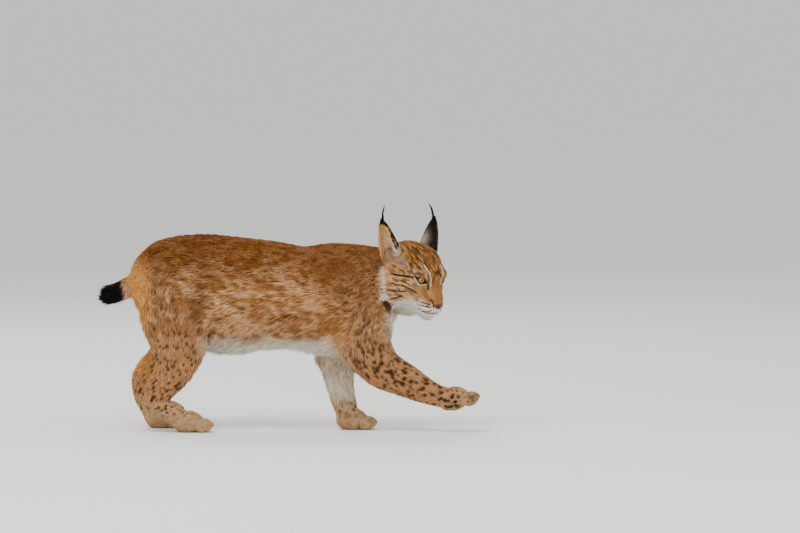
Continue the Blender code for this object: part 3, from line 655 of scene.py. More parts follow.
class Anatomy:
    """Where points lie on the body: their nearest stretch, how far along it, and where the hair points."""

    def __init__(self) -> None:
        """Gather the rows of all paths, with their tangents, sizes and numbers."""
        place, way, size, group, progress = [], [], [], [], []
        for number, path in enumerate(PATHS):
            rows = path.rows(5)
            tangent = unit(np.gradient(rows[:, :3], axis=0))
            place.append(rows[:, :3])
            way.append(-tangent if path.backwards else tangent)
            size.append(rows[:, 3:5].mean(axis=1))
            group.append(np.full(len(rows), number))
            progress.append(np.linspace(0, 1, len(rows)))
            for paw in (item for item in PAWS if item.name == path.name):
                ahead = np.array([(-0.005, 0, 0), (0.020, 0, 0), (0.045, 0, 0)]) @ paw.axes.T
                place.append(np.array(paw.middle) + ahead)
                way.append(np.tile(paw.axes[:, 0], (3, 1)))
                size.append(np.full(3, 0.030))
                group.append(np.full(3, number))
                progress.append(np.ones(3))
        self.place = np.vstack(place)
        self.way = np.vstack(way)
        self.size = np.concatenate(size)
        self.group = np.concatenate(group)
        self.progress = np.concatenate(progress)

    def locate(self, places: Array) -> tuple[Array, Array, Array]:
        """Find the nearest stretch of each point.

        Distances to every row, over the row's own radius, give weights exp(-5 d). The way is the mean of the
        rows' ways by these weights.

        Args:
            places: World points.

        Returns:
            Shares of each path, the way of the hair and the nearest row.
        """
        shares = np.zeros((len(places), len(PATHS)))
        ways = np.zeros((len(places), 3))
        nearest = np.zeros(len(places), int)
        for start in range(0, len(places), POINTS_AT_ONCE):
            part = slice(start, start + POINTS_AT_ONCE)
            away = lengths(places[part, None] - self.place[None]) / self.size
            weight = np.exp(-5 * (away - away.min(axis=1, keepdims=True)))
            weight /= weight.sum(axis=1, keepdims=True)
            ways[part] = weight @ self.way
            nearest[part] = away.argmin(axis=1)
            for number in range(len(PATHS)):
                shares[part, number] = weight[:, self.group == number].sum(axis=1)
        return shares, unit(ways), nearest

    def unwrap(self, places: Array, nearest: Array) -> Array:
        """Unroll the nearest stretch of each point: along it across the map, round it up the map."""
        way = self.way[nearest]
        away = places - self.place[nearest]
        across = unit(np.array([0.0, 1.0, 0.0]) - way * way[:, 1:2])
        fore = np.cross(way, across)
        angle = np.arctan2((away * across).sum(axis=1), (away * fore).sum(axis=1))
        step = (away * way).sum(axis=1) / (14 * self.size[nearest])
        u = 0.04 + 0.90 * np.clip(self.progress[nearest] + step, 0, 1)
        return np.column_stack([u, 0.04 + 0.90 * (angle / (2 * math.pi) + 0.5)])


ANATOMY = Anatomy()


@dataclass(frozen=True)
class Stroke:
    """A painted stroke on the face: points of the right side in the head's frame, mirrored to the left."""

    points: tuple
    radius: float
    colour: Colour
    strength: float = 1.0
    across: float = 1.0

    def laid(self, settle: Callable[[Array], Array]) -> "Stroke":
        """The stroke with more points, each moved onto the skin by a function."""
        rows = smooth_path(self.points, 3) if len(self.points) > 2 else np.array(self.points)
        return replace(self, points=tuple(map(tuple, settle(rows))))

    def share(self, places: Array) -> Array:
        """How strongly the stroke covers each point: 1 within it, falling to 0 at its edge."""
        shrink = np.array((1, self.across, 1))
        flat = np.column_stack([places[:, 0], -np.abs(places[:, 1]), places[:, 2]]) * shrink
        nearest = np.full(len(places), FAR)
        for start, end in zip(self.points[:-1], self.points[1:]):
            start, span = np.array(start) * shrink, (np.array(end) - np.array(start)) * shrink
            part = np.clip((flat - start) @ span / (span @ span), 0, 1)
            nearest = np.minimum(nearest, lengths(flat - start - part[:, None] * span))
        wobble = 0.75 + 0.5 * noise(places, 0.004, 31)
        return self.strength * (1 - ramp(nearest, self.radius * 0.55 * wobble, self.radius * 1.15 * wobble))


def whisker_dots() -> tuple[Stroke, ...]:
    """Three rows of dark dashes on the muzzle, from which the whiskers grow."""
    rows = (
        ((-0.045, -0.039, -0.010), (-0.018, -0.021, -0.004)),
        ((-0.043, -0.037, -0.017), (-0.014, -0.020, -0.010)),
        ((-0.038, -0.033, -0.025), (-0.011, -0.017, -0.016)),
    )
    dots = []
    for start, end in rows:
        start, span = np.array(start), np.array(end) - np.array(start)
        for share in np.linspace(0.0, 0.86, 5):
            first = start + span * share
            dots.append(Stroke((tuple(first), tuple(first + span * 0.12)), 0.0021, PALETTE.black, 0.95))
    return tuple(dots)


FACE_STROKES = (
    Stroke(
        ((-0.150, 0.0, 0.090), (-0.107, 0.0, 0.093), (-0.068, 0.0, 0.076)),
        0.0020, PALETTE.spot, 0.8
    ),
    Stroke(
        ((-0.135, -0.021, 0.092), (-0.100, -0.018, 0.088), (-0.071, -0.015, 0.077), (-0.050, -0.009, 0.062)),
        0.0020, PALETTE.spot, 0.85
    ),
    Stroke(
        ((-0.120, -0.040, 0.085), (-0.089, -0.031, 0.080), (-0.068, -0.023, 0.074)),
        0.0018, PALETTE.spot, 0.8
    ),
    Stroke(
        ((-0.073, -0.029, 0.073), (-0.058, -0.025, 0.062), (-0.046, -0.020, 0.051), (-0.040, -0.016, 0.035)),
        0.0018, PALETTE.cream, 0.72
    ),
    Stroke(
        ((-0.118, -0.075, 0.024), (-0.097, -0.069, 0.032), (-0.080, -0.061, 0.038), (-0.066, -0.052, 0.043)),
        0.0031, PALETTE.black, 0.95
    ),
    Stroke(
        ((-0.056, -0.023, 0.040), (-0.047, -0.021, 0.032), (-0.041, -0.019, 0.024)),
        0.0028, PALETTE.spot, 0.9
    ),
    Stroke(
        ((-0.110, -0.074, 0.002), (-0.077, -0.068, 0.014), (-0.059, -0.061, 0.015), (-0.046, -0.047, 0.011)),
        0.0023, PALETTE.spot, 0.85
    ),
    Stroke(
        ((-0.112, -0.073, 0.014), (-0.083, -0.067, 0.023), (-0.064, -0.060, 0.022)),
        0.0021, PALETTE.spot, 0.8
    ),
    Stroke(
        ((-0.120, -0.078, -0.018), (-0.092, -0.073, -0.009), (-0.068, -0.066, 0.004)),
        0.0024, PALETTE.spot, 0.85
    ),
    Stroke(
        ((-0.110, -0.076, -0.040), (-0.089, -0.070, -0.029), (-0.072, -0.066, -0.011)),
        0.0024, PALETTE.spot, 0.85
    ),
    Stroke(
        ((-0.048, -0.029, 0.022), (-0.036, -0.027, 0.012), (-0.026, -0.021, 0.006)),
        0.0070, PALETTE.soft_spot, 0.42
    ),
    Stroke(
        ((-0.021, -0.018, 0.007), (-0.014, -0.016, 0.001), (-0.010, -0.014, -0.006)),
        0.0024, PALETTE.spot, 0.9
    ),
    Stroke(
        ((-0.170, -0.062, 0.050), (-0.122, -0.070, 0.066), (-0.105, -0.064, 0.062)),
        0.0120, PALETTE.grey, 0.42
    ),
) + whisker_dots()


RUFF_STROKES = (
    Stroke(
        (
            (-0.150, -0.081, 0.020), (-0.133, -0.088, 0.001),
            (-0.117, -0.092, -0.019), (-0.102, -0.096, -0.035),
        ),
        0.0060, PALETTE.white, 0.72, 0.15
    ),
    Stroke(
        ((-0.095, -0.090, -0.042), (-0.084, -0.086, -0.051), (-0.073, -0.080, -0.061)),
        0.0056, PALETTE.spot, 0.85, 0.15
    ),
)


@dataclass
class Markings:
    """The colours of the coat, worked out at any points, for the skin and for the tufts alike."""

    strokes: tuple[Stroke, ...] = ()

    def body(self, places: Array, shares: Array) -> Array:
        """The colours of the trunk, neck, tail and legs.

        Args:
            places: World points.
            shares: Share of each path at each point.

        Returns:
            Linear colours, one row to a point.
        """
        x, y, z = places.T
        hind_share = shares[:, 5] + shares[:, 6]
        stretched = places * (0.75, 1.0, 1.15) + np.column_stack([0.5 * z, 0 * z, 0 * z])
        broad = noise(stretched, 0.030, 1)
        fine = noise(stretched, 0.0105, 2)
        tiny = noise(places, 0.006, 3)
        blotch = ramp(0.36 * broad + 0.64 * fine, 0.40, 0.62)
        colour = mix(PALETTE.pinkish, PALETTE.flank, ramp(tiny, 0.2, 0.8))
        colour = mix(colour, PALETTE.flank_deep, 0.80 * blotch)
        upper = ramp(z + 0.020 * (broad - 0.5) + 0.055 * ramp(x, 0.0, 0.10), 0.315, 0.425)
        colour = mix(colour, PALETTE.back, 0.85 * upper)
        colour = mix(colour, PALETTE.soft_spot, 0.40 * upper * ramp(fine, 0.5, 0.75))
        colour = mix(colour, PALETTE.spine, 0.6 * ramp(z, 0.440, 0.472))
        flecks = spots(stretched, 0.0125, 0.0044, 0.95, 11)
        colour = mix(colour, PALETTE.soft_spot, 0.74 * flecks)
        shoulder = bell(x, z, (0.185, 0.31), (0.065, 0.085))
        colour = mix(colour, PALETTE.leg, 0.45 * shoulder)
        dots = spots(places, 0.0100, 0.0040, 0.97, 21)
        colour = mix(colour, PALETTE.spot, 0.80 * np.clip(shoulder * 1.6, 0, 1) * dots)
        thigh = bell(x, z, (-0.275, 0.29), (0.075, 0.13))
        colour = mix(colour, PALETTE.spot, 0.70 * np.clip(thigh * 1.3, 0, 1) * dots * (1 - hind_share))
        belly = (1 - ramp(z + 0.020 * (fine - 0.5), 0.200, 0.238)) * (shares[:, 0] + shares[:, 1])
        under = 1 - ramp(z - 0.10 * (x - 0.15), 0.255, 0.30)
        throat = ramp(x, 0.215, 0.245) * under * (shares[:, 0] + shares[:, 1])
        colour = mix(colour, PALETTE.cream, np.maximum(belly, throat))
        elbow = bell(x, z, (0.128, 0.205), (0.030, 0.040)) * (y < 0)
        colour = mix(colour, PALETTE.orange, 0.75 * elbow)
        # Painted shade: a dark band in the hollow of the flank, in front of the thigh.
        flank_hollow_shade = bell(x - 0.22 * (z - 0.30), z, (-0.215, 0.30), (0.020, 0.085))
        colour = mix(colour, PALETTE.soft_spot, 0.62 * flank_hollow_shade)
        colour = self.legs(colour, places, shares[:, 3] + shares[:, 4], hind_share)
        rear = (1 - ramp(x, -0.352, -0.312)) * (1 - ramp(z, 0.36, 0.44)) * ramp(z, 0.10, 0.16)
        colour = mix(colour, PALETTE.orange, 0.8 * rear * (1 - shares[:, 2]))
        colour = self.tail(colour, places, shares[:, 2])
        local = HEAD.local(places)
        for stroke in RUFF_STROKES:
            colour = mix(colour, stroke.colour, stroke.share(local))
        return colour * (0.90 + 0.20 * tiny)[:, None]

    def legs(self, colour: Array, places: Array, fore: Array, hind: Array) -> Array:
        """Paint the legs over the coat: paler towards the feet, pale inside, with dark spots in rows."""
        x, y, z = places.T
        lower = 1 - ramp(z, 0.12, 0.30)
        colour = mix(colour, PALETTE.leg, (fore + hind) * (0.35 + 0.65 * lower))
        inner = np.where(y < 0, y + 0.052, 0.046 - y)
        pale = ramp(inner, -0.004, 0.016) * (fore + hind) * (1 - ramp(z, 0.26, 0.30)) * ramp(z, 0.045, 0.075)
        colour = mix(colour, PALETTE.cream, 0.8 * pale)
        colour = mix(colour, PALETTE.foot, (fore + hind) * 0.8 * (1 - ramp(z, 0.045, 0.095)))
        drawn = places * (0.80, 1.0, 1.0) + np.column_stack([0.25 * z, 0 * z, -0.35 * x])
        dense = spots(drawn, 0.0105, 0.0050, 0.98, 41)
        sparse = spots(drawn, 0.0104, 0.0038, 0.98, 51)
        toes = np.zeros(len(x))
        for paw in PAWS:
            toe_middle = np.array(paw.middle) + paw.axes @ (0.022, 0, 0)
            toes = np.maximum(toes, 1 - ramp(lengths(places - toe_middle), 0.024, 0.044))
        colour = mix(colour, PALETTE.foot, 0.8 * toes)
        feet = ramp(z, 0.020, 0.060) * (1 - 0.8 * toes)
        colour = mix(colour, PALETTE.spot, 0.95 * fore * dense * (0.25 + 0.75 * feet) * (1 - 0.8 * pale))
        return mix(colour, PALETTE.spot, 0.92 * hind * sparse * (0.2 + 0.8 * feet) * (1 - 0.8 * pale))

    def tail(self, colour: Array, places: Array, share: Array) -> Array:
        """Paint the tail: tan with a pale underside, and a black end."""
        x, _, z = places.T
        under = 1 - ramp(z + 0.45 * (x + 0.36), 0.330, 0.345)
        tan = mix(PALETTE.tail, PALETTE.cream, 0.5 * under)
        tan = mix(tan, PALETTE.soft_spot, 0.5 * spots(places, 0.014, 0.004, 0.7, 61))
        colour = mix(colour, tan, share * (1 - ramp(x, -0.372, -0.345)))
        black = 1 - ramp(x + 0.010 * noise(places, 0.010, 62), -0.394, -0.382)
        return mix(colour, PALETTE.black, black * (x < -0.36))

    def head(self, places: Array) -> Array:
        """The colours of the head, from points in the head's own frame."""
        a, b, c = places.T
        side = np.abs(b)
        fine = noise(places, 0.0055, 71)
        broad = noise(places, 0.016, 72)
        colour = mix(PALETTE.face, PALETTE.crown, ramp(c + 0.3 * broad * 0.05, 0.030, 0.075))
        colour = mix(colour, PALETTE.soft_spot, 0.45 * ramp(fine, 0.50, 0.80))
        colour = mix(colour, PALETTE.pinkish, 0.40 * ramp(broad, 0.5, 0.8) * ramp(side, 0.02, 0.05))
        colour = mix(colour, PALETTE.back, 0.6 * ramp(-a, 0.130, 0.170))
        drawn = noise(places * (0.26, 1.0, 0.45), 0.0030, 73)
        streaks = ramp(drawn, 0.52, 0.64) * ramp(c, 0.026, 0.046) * ramp(a, -0.160, -0.130)
        colour = mix(colour, PALETTE.pinkish, 0.26 * ramp(1 - drawn, 0.56, 0.70) * ramp(c, 0.026, 0.046))
        colour = mix(colour, PALETTE.spot, 0.64 * streaks)
        lines = ramp(noise(places * (0.26, 0.5, 1.0), 0.0040, 74), 0.54, 0.64) * ramp(side, 0.026, 0.040)
        on_cheek = ramp(-a, 0.045, 0.060) * (1 - ramp(c, 0.030, 0.042))
        colour = mix(colour, PALETTE.spot, 0.62 * lines * on_cheek)
        middle = (1 - ramp(side, 0.036, 0.056)) * ramp(a, -0.085, -0.060) * (1 - ramp(c, 0.040, 0.056))
        colour = mix(colour, PALETTE.crown, 0.45 * middle)
        bridge = (1 - ramp(side, 0.010, 0.019)) * ramp(a, -0.052, -0.030) * ramp(c, -0.004, 0.006)
        colour = mix(colour, PALETTE.rust, 0.75 * bridge)
        edge = np.where(a > -0.055, -0.004, -0.004 + 0.75 * (a + 0.055))
        white = 1 - ramp(c - edge + 0.012 * (fine - 0.5), -0.012, 0.005)
        colour = mix(colour, PALETTE.white, white)
        for stroke in self.strokes + RUFF_STROKES:
            colour = mix(colour, stroke.colour, stroke.share(places))
        for eye_side in Side:
            reach, tall, share = HEAD.lid_shape(places, eye_side)
            front = ramp(reach, 0.004, 0.009)
            below = (1 - ramp(tall, -0.0035, 0.001)) * ramp(side, 0.024, 0.028)
            pale = ramp(share, 1.34, 1.44) * (1 - ramp(share, 1.56, 1.84)) * below
            colour = mix(colour, PALETTE.cream, 0.8 * pale * front)
            colour = mix(colour, PALETTE.black, (1 - ramp(share, 1.20, 1.50)) * front)
        pad = nose_pad(places)
        on_pad = 1 - ramp(pad, 0.94, 1.08)
        colour = mix(colour, PALETTE.nose, on_pad)
        colour = mix(colour, PALETTE.black, 0.75 * (1 - ramp(c, -0.0055, -0.0005)) * on_pad)
        nostril = (np.column_stack([a, side, c]) - (-0.0010, 0.0068, -0.0004)) / (0.0060, 0.0040, 0.0030)
        holes = lengths(nostril)
        colour = mix(colour, PALETTE.black, 0.95 * (1 - ramp(holes, 0.75, 1.15)))
        return colour * (0.88 + 0.24 * fine)[:, None]


MARKINGS = Markings()


def nose_pad(places: Array) -> Array:
    """How far points of the head's frame lie from the middle of the nose pad, 1 at its edge."""
    return lengths((places - (-0.0050, 0, -0.0002)) / (0.0100, 0.0142, 0.0084))


def bare_share(places: Array) -> Array:
    """How bare the skin is at points of the head's frame: the nose pad and the rims of the lids."""
    bare = 1 - ramp(nose_pad(places), 0.98, 1.12)
    for side in Side:
        reach, _, share = HEAD.lid_shape(places, side)
        bare = np.maximum(bare, (1 - ramp(share, 1.22, 1.42)) * ramp(reach, 0.004, 0.008))
    return bare


class Finish:
    """Builds node materials."""

    def __init__(self, name: str) -> None:
        """Start a material with a plain shader."""
        self.material = bpy.data.materials.new(name)
        self.material.use_nodes = True
        self.nodes = self.material.node_tree.nodes
        self.links = self.material.node_tree.links
        self.shader = self.nodes["Principled BSDF"]

    def node(self, kind: str, **settings: object) -> bpy.types.Node:
        """Add a node and set its options."""
        node = self.nodes.new(kind)
        for key, value in settings.items():
            setattr(node, key, value)
        return node

    def attribute(self, word: str, socket: str = "Fac") -> Socket:
        """Read one of the piece's attributes, a number or the socket named Color."""
        return self.node("ShaderNodeAttribute", attribute_name=word).outputs[socket]

    def grain(self, scale: float, detail: float) -> Socket:
        """Noise on object coordinates, scale waves to a metre."""
        place = self.node("ShaderNodeTexCoord")
        waves = self.node("ShaderNodeTexNoise")
        waves.inputs["Scale"].default_value = scale
        waves.inputs["Detail"].default_value = detail
        self.links.new(place.outputs["Object"], waves.inputs["Vector"])
        return waves.outputs["Fac"]

    def spread(self, source: Socket, low: float, high: float) -> Socket:
        """Map a share from 0 to 1 to a range of values."""
        change = self.node("ShaderNodeMapRange")
        change.inputs["To Min"].default_value = low
        change.inputs["To Max"].default_value = high
        self.links.new(source, change.inputs["Value"])
        return change.outputs["Result"]

    def scaled(self, colour: Socket, factor: Socket) -> Socket:
        """Multiply a colour by a number."""
        change = self.node("ShaderNodeVectorMath", operation="SCALE")
        self.links.new(colour, change.inputs[0])
        self.links.new(factor, change.inputs["Scale"])
        return change.outputs["Vector"]

    def set(self, **sockets: float | tuple) -> None:
        """Set the shader's own sockets, with spaces written as underscores."""
        for word, value in sockets.items():
            self.shader.inputs[word.replace("_", " ")].default_value = value

    def dress(self, colour: Socket | None, rough: Socket, grain: Socket, depth: float) -> Material:
        """Link the colour, where a node gives it, the roughness and a bump of a depth in metres.

        Returns:
            The finished material.
        """
        if colour is not None:
            self.links.new(colour, self.shader.inputs["Base Color"])
        self.links.new(rough, self.shader.inputs["Roughness"])
        bump = self.node("ShaderNodeBump")
        bump.inputs["Distance"].default_value = depth
        bump.inputs["Strength"].default_value = 1.0
        self.links.new(grain, bump.inputs["Height"])
        self.links.new(bump.outputs["Normal"], self.shader.inputs["Normal"])
        return self.material


@dataclass(frozen=True)
class FurFinish:
    """The coat: the markings of the tuft's root, a little grain along the hairs, a soft dull sheen."""

    roughness: float = 0.72
    grain: float = 420.0

    def make(self) -> Material:
        """Build the material."""
        finish = Finish("fur")
        grain = finish.grain(self.grain, 2.0)
        colour = finish.scaled(finish.attribute("coat", "Color"), finish.spread(grain, 0.80, 1.22))
        rough = finish.spread(grain, self.roughness - 0.10, self.roughness + 0.10)
        finish.set(Specular_IOR_Level=0.10)
        return finish.dress(colour, rough, grain, 0.0003)


@dataclass(frozen=True)
class SkinFinish:
    """The skin under the coat, with short hair as bump, and bare moist skin at the nose and the lids."""

    hair: float = 900.0

    def make(self) -> Material:
        """Build the material."""
        finish = Finish("skin")
        grain = finish.grain(self.hair, 4.0)
        colour = finish.scaled(finish.attribute("coat", "Color"), finish.spread(grain, 0.72, 1.20))
        rough = finish.spread(finish.attribute("bare"), 0.85, 0.42)
        finish.set(Specular_IOR_Level=0.35)
        return finish.dress(colour, rough, grain, 0.0008)


@dataclass(frozen=True)
class EyeFinish:
    """The eye: a black round pupil, an amber iris with fine rays, a dark rim, all under a clear wet coat."""

    pupil: float = 0.17
    iris: float = 0.74

    def make(self) -> Material:
        """Build the material, which reads how far each point lies from the gaze."""
        finish = Finish("eye")
        band = finish.node("ShaderNodeValToRGB")
        ramp_stops = (
            (0.0, (0.004, 0.003, 0.003)),
            (self.pupil, (0.004, 0.003, 0.003)),
            (self.pupil + 0.035, rgb(168, 108, 24)),
            (0.50, rgb(196, 136, 36)),
            (self.iris - 0.09, rgb(150, 92, 22)),
            (self.iris, (0.010, 0.007, 0.005)),
            (1.0, (0.030, 0.018, 0.012)),
        )
        stops = band.color_ramp.elements
        for _ in range(len(ramp_stops) - 2):
            stops.new(0.5)
        for stop, (place, shade) in zip(stops, ramp_stops):
            stop.position = place
            stop.color = (*shade, 1)
        finish.links.new(finish.attribute("off_gaze"), band.inputs["Fac"])
        colour = finish.scaled(band.outputs["Color"], finish.spread(finish.attribute("ray"), 0.70, 1.20))
        grain = finish.grain(700.0, 2.0)
        finish.set(Coat_Weight=0.8, Coat_Roughness=0.04, Coat_IOR=1.3, Specular_IOR_Level=0.15)
        return finish.dress(colour, finish.spread(grain, 0.28, 0.42), grain, 0.00003)


@dataclass(frozen=True)
class HornFinish:
    """Claws and whiskers: smooth horn, a little darker in places."""

    name: str
    colour: Colour
    roughness: float = 0.35

    def make(self) -> Material:
        """Build the material."""
        finish = Finish(self.name)
        grain = finish.grain(300.0, 2.0)
        tint = finish.node("ShaderNodeMix", data_type="RGBA")
        tint.inputs["A"].default_value = (*self.colour, 1)
        tint.inputs["B"].default_value = (*(0.7 * channel for channel in self.colour), 1)
        finish.links.new(grain, tint.inputs["Factor"])
        rough = finish.spread(grain, self.roughness - 0.08, self.roughness + 0.10)
        return finish.dress(tint.outputs["Result"], rough, grain, 0.00006)


@dataclass(frozen=True)
class FloorFinish:
    """The plain pale floor."""

    def make(self) -> Material:
        """Build the material."""
        finish = Finish("floor")
        grain = finish.grain(60.0, 3.0)
        finish.set(Base_Color=(0.80, 0.80, 0.81, 1), Specular_IOR_Level=0.1)
        return finish.dress(None, finish.spread(grain, 0.84, 0.96), grain, 0.0001)


@dataclass
class Skin:
    """The one skin of the whole animal, without its ears and eyes."""

    body_step: float = 0.0054
    paw_step: float = 0.0026
    head_step: float = 0.00105
    head_faces: int = 84000
    skull_depth: float = 0.0075
    face_depth: float = 0.0022
    shade: float = 0.72

    def body_clay(self) -> Clay:
        """Blend trunk, neck, tail and legs, with plain paws and skull that lie under the fine ones."""
        clay = Clay((-0.47, -0.13, -0.01), (0.46, 0.13, 0.50), self.body_step)
        for path in PATHS:
            clay.tube(path.rows(), path.reach, path.cap)
        for paw in PAWS:
            paw.press(clay, 0.0025)
        for middle, radii, reach in self.skull_masses():
            inset = np.array(radii) - 0.0035
            clay.ball(HEAD.world(np.array(middle)), inset, reach, HEAD.axes)
        return clay

    def paw_clay(self, paw: Paw) -> Clay:
        """One paw with the end of its leg, which fades into the leg of the body's block."""
        middle = np.array(paw.middle)
        clay = Clay(middle - (0.075, 0.055, 0.04), middle + (0.075, 0.055, 0.06), self.paw_step)
        leg = next(path for path in LEGS if path.name == paw.name).rows()
        clay.tube(leg[-9:] - (0, 0, 0, 0.0006, 0.0006), 0.012)
        paw.press(clay, 0.0)
        window, grid = clay.window(clay.low, clay.low + clay.count * clay.step)
        high = grid[..., 2] - (middle[2] + 0.050)
        back = middle[0] - 0.066 - grid[..., 0]
        clay.value = np.maximum(clay.value, np.maximum(high, back)[tuple(slice(n) for n in clay.count)])
        clay.cut(window, grid[..., 2] - 0.0006, 0.001)
        return clay

    def masses(self, middle_rows: tuple, side_rows: tuple, depth: float) -> list[tuple]:
        """Middles, radii and fillets of masses on the middle line and on both sides, drawn in by a depth."""
        rows = list(middle_rows)
        for side in (-1, 1):
            rows += [((a, side * b, c), radii, reach) for (a, b, c), radii, reach in side_rows]
        return [(middle, tuple(radius - depth for radius in radii), reach) for middle, radii, reach in rows]

    def skull_masses(self) -> list[tuple]:
        """The rounded masses behind the face, in the head's frame."""
        middle = (
            ((-0.134, 0, 0.028), (0.070, 0.066, 0.069), 0.02),
            ((-0.088, 0, 0.034), (0.056, 0.057, 0.051), 0.03),
            ((-0.080, 0, -0.026), (0.062, 0.042, 0.034), 0.02),
            ((-0.145, 0, -0.004), (0.058, 0.060, 0.054), 0.03),
            ((-0.064, 0, 0.004), (0.050, 0.034, 0.034), 0.02),
            ((-0.100, 0, -0.050), (0.045, 0.036, 0.030), 0.02),
        )
        sides = (
            ((-0.092, 0.036, 0.002), (0.052, 0.037, 0.048), 0.02),
            ((-0.124, 0.052, -0.022), (0.044, 0.034, 0.052), 0.02),
            ((-0.128, 0.042, 0.044), (0.052, 0.036, 0.042), 0.02),
        )
        return self.masses(middle, sides, self.skull_depth)

    def face_masses(self) -> list[tuple]:
        """The smaller masses of the face: bridge, nose, muzzle, chin, lips and brows."""
        middle = (
            ((-0.056, 0, 0.012), (0.050, 0.026, 0.023), 0.012),
            ((-0.031, 0, 0.002), (0.0315, 0.0190, 0.0145), 0.008),
            ((-0.045, 0, -0.014), (0.039, 0.029, 0.025), 0.010),
            ((-0.034, 0, -0.039), (0.023, 0.019, 0.016), 0.010),
        )
        sides = (
            ((-0.034, 0.0160, -0.016), (0.0250, 0.0205, 0.0175), 0.006),
            ((-0.074, 0.031, 0.052), (0.028, 0.022, 0.016), 0.014),
        )
        return self.masses(middle, sides, self.face_depth)

    def head_clay(self) -> Clay:
        """The head in its own frame: masses, lids, sockets, nose pad, nostrils and the line of the mouth.

        The rear of the block is closed, deep inside the neck.
        """
        clay = Clay((-0.215, -0.105, -0.095), (0.012, 0.105, 0.115), self.head_step)
        neck = NECK.rows()
        neck = neck[neck[:, 0] > 0.20]
        neck[:, :3] = HEAD.local(neck[:, :3])
        clay.tube(neck - (0, 0, 0, 0.003, 0.003), 0.012)
        for middle, radii, reach in self.skull_masses() + self.face_masses():
            clay.ball(middle, radii, reach)
        strokes = [stroke.laid(lambda rows: self.onto_surface(clay, rows)) for stroke in FACE_STROKES]
        self.carve_eyes(clay)
        self.shape_mouth(clay)
        MARKINGS.strokes = (*strokes, self.mouth)
        self.shape_nose(clay)
        clay.value[0] = np.maximum(clay.value[0], clay.step)
        return clay

    def carve_eyes(self, clay: Clay) -> None:
        """Lids as a shell over each eyeball, open in an almond, and a socket that holds the ball."""
        for side in Side:
            middle = HEAD.eye_middle(side)
            shell = (HEAD.eye_radius + HEAD.lid,) * 3
            clay.ball(middle, shell, 0.0045)
            half = np.full(3, HEAD.eye_radius * 1.6)
            window, grid = clay.window(middle - half, middle + half)
            reach, _, share = HEAD.lid_shape(grid.astype(float), side)
            almond = np.maximum((share - 1) * HEAD.lid_above, 0.006 - reach)
            clay.cut(window, almond.astype(np.float32), 0.0012)
            clay.ball(middle, (HEAD.eye_radius + 0.0002,) * 3, 0.0006, carve=True)

    def shape_mouth(self, clay: Clay) -> None:
        """The line of the mouth as a groove, the cleft under the nose and a soft lower lip.

        The groove is a thin tube round a half circle about the muzzle, dropping towards the corners.
        """
        steps = 31
        share = np.linspace(-1, 1, steps)
        angle = share * math.radians(100)
        depth = 0.0275 + 0.020 * np.abs(share) ** 1.5
        drop = -0.0262 - 0.0085 * np.sin(np.minimum(np.abs(share) * 1.7, 1.57))
        path = np.column_stack([-0.036 + depth * np.cos(angle), depth * 1.02 * np.sin(angle), drop])
        path = self.onto_surface(clay, path)
        self.mouth = Stroke(tuple(map(tuple, path[2:16])), 0.0021, PALETTE.black, 0.92)
        lip = np.column_stack([path - (0, 0, 0.0040), np.full((steps, 2), 0.0030)])
        clay.tube(lip[3:-3], 0.004)
        groove = Clay(clay.low, clay.low + clay.step * (clay.count - 1), clay.step)
        groove.tube(np.column_stack([path, np.full((steps, 2), 0.0013)]), 0.0005)
        clay.cut(WHOLE, groove.value, 0.0022)
        cleft = np.array([(-0.0030, 0, -0.010), (-0.0025, 0, -0.018), (-0.0060, 0, -0.026)])
        cleft = self.onto_surface(clay, cleft)
        groove.value[:] = FAR
        groove.tube(np.column_stack([cleft, np.full((3, 2), 0.0008)]), 0.0005)
        clay.cut(WHOLE, groove.value, 0.0024)

    def onto_surface(self, clay: Clay, places: Array) -> Array:
        """Slide points along the slope of the distances until they lie on the surface."""
        for _ in range(6):
            places = places - clay.outward(places) * clay.at(places)[:, None] * 0.9
        return places

    def shape_nose(self, clay: Clay) -> None:
        """The nose pad with its two nostrils and the slits beside them."""
        clay.ball((-0.0105, 0, 0.0016), (0.0102, 0.0122, 0.0078), 0.0022)
        clay.ball((-0.0085, 0, -0.0052), (0.0070, 0.0062, 0.0060), 0.0030)
        for side in (-1, 1):
            hole = turned("x", side * 0.55) @ turned("z", side * 0.35)
            clay.ball((-0.0008, side * 0.0064, -0.0004), (0.0056, 0.0032, 0.0024), 0.0010, hole, carve=True)
            slit = turned("z", side * 0.9) @ turned("x", -side * 0.3)
            clay.ball((-0.0044, side * 0.0120, -0.0010), (0.0050, 0.0030, 0.0011), 0.0010, slit, carve=True)

    def build(self) -> Piece:
        """Work out the blocks, join their surfaces in one mesh and dress it."""
        self.body = self.body_clay()
        self.head = self.head_clay()
        self.paws = [self.paw_clay(paw) for paw in PAWS]
        meshes = [self.body.surface()] + [paw.surface() for paw in self.paws]
        points, faces = self.head.surface()
        points, faces = thinned(HEAD.world(points), faces, self.head_faces)
        meshes = [(place, quads_to_triangles(quads)) for place, quads in meshes] + [(points, faces)]
        self.parts = meshes
        start = np.cumsum([0] + [len(place) for place, _ in meshes])
        points = np.vstack([place for place, _ in meshes])
        faces = np.vstack([rows + first for (_, rows), first in zip(meshes, start)])
        colours = self.colours(points, start[-2])
        looks = {"coat": colours[0] * self.shade, "bare": colours[1]}
        return new_piece("skin", points, faces, looks, SkinFinish().make())

    def colours(self, points: Array, head_start: int) -> tuple[Array, Array]:
        """Markings and bareness at the skin's points, where the head's points come last."""
        body, head = points[:head_start], HEAD.local(points[head_start:])
        colour = np.vstack([MARKINGS.body(body, ANATOMY.locate(body)[0]), MARKINGS.head(head)])
        return colour, np.concatenate([np.zeros(head_start), bare_share(head)])


def quads_to_triangles(quads: Array) -> Array:
    """Each quad split along one diagonal."""
    return np.vstack([quads[:, [0, 1, 2]], quads[:, [0, 2, 3]]])


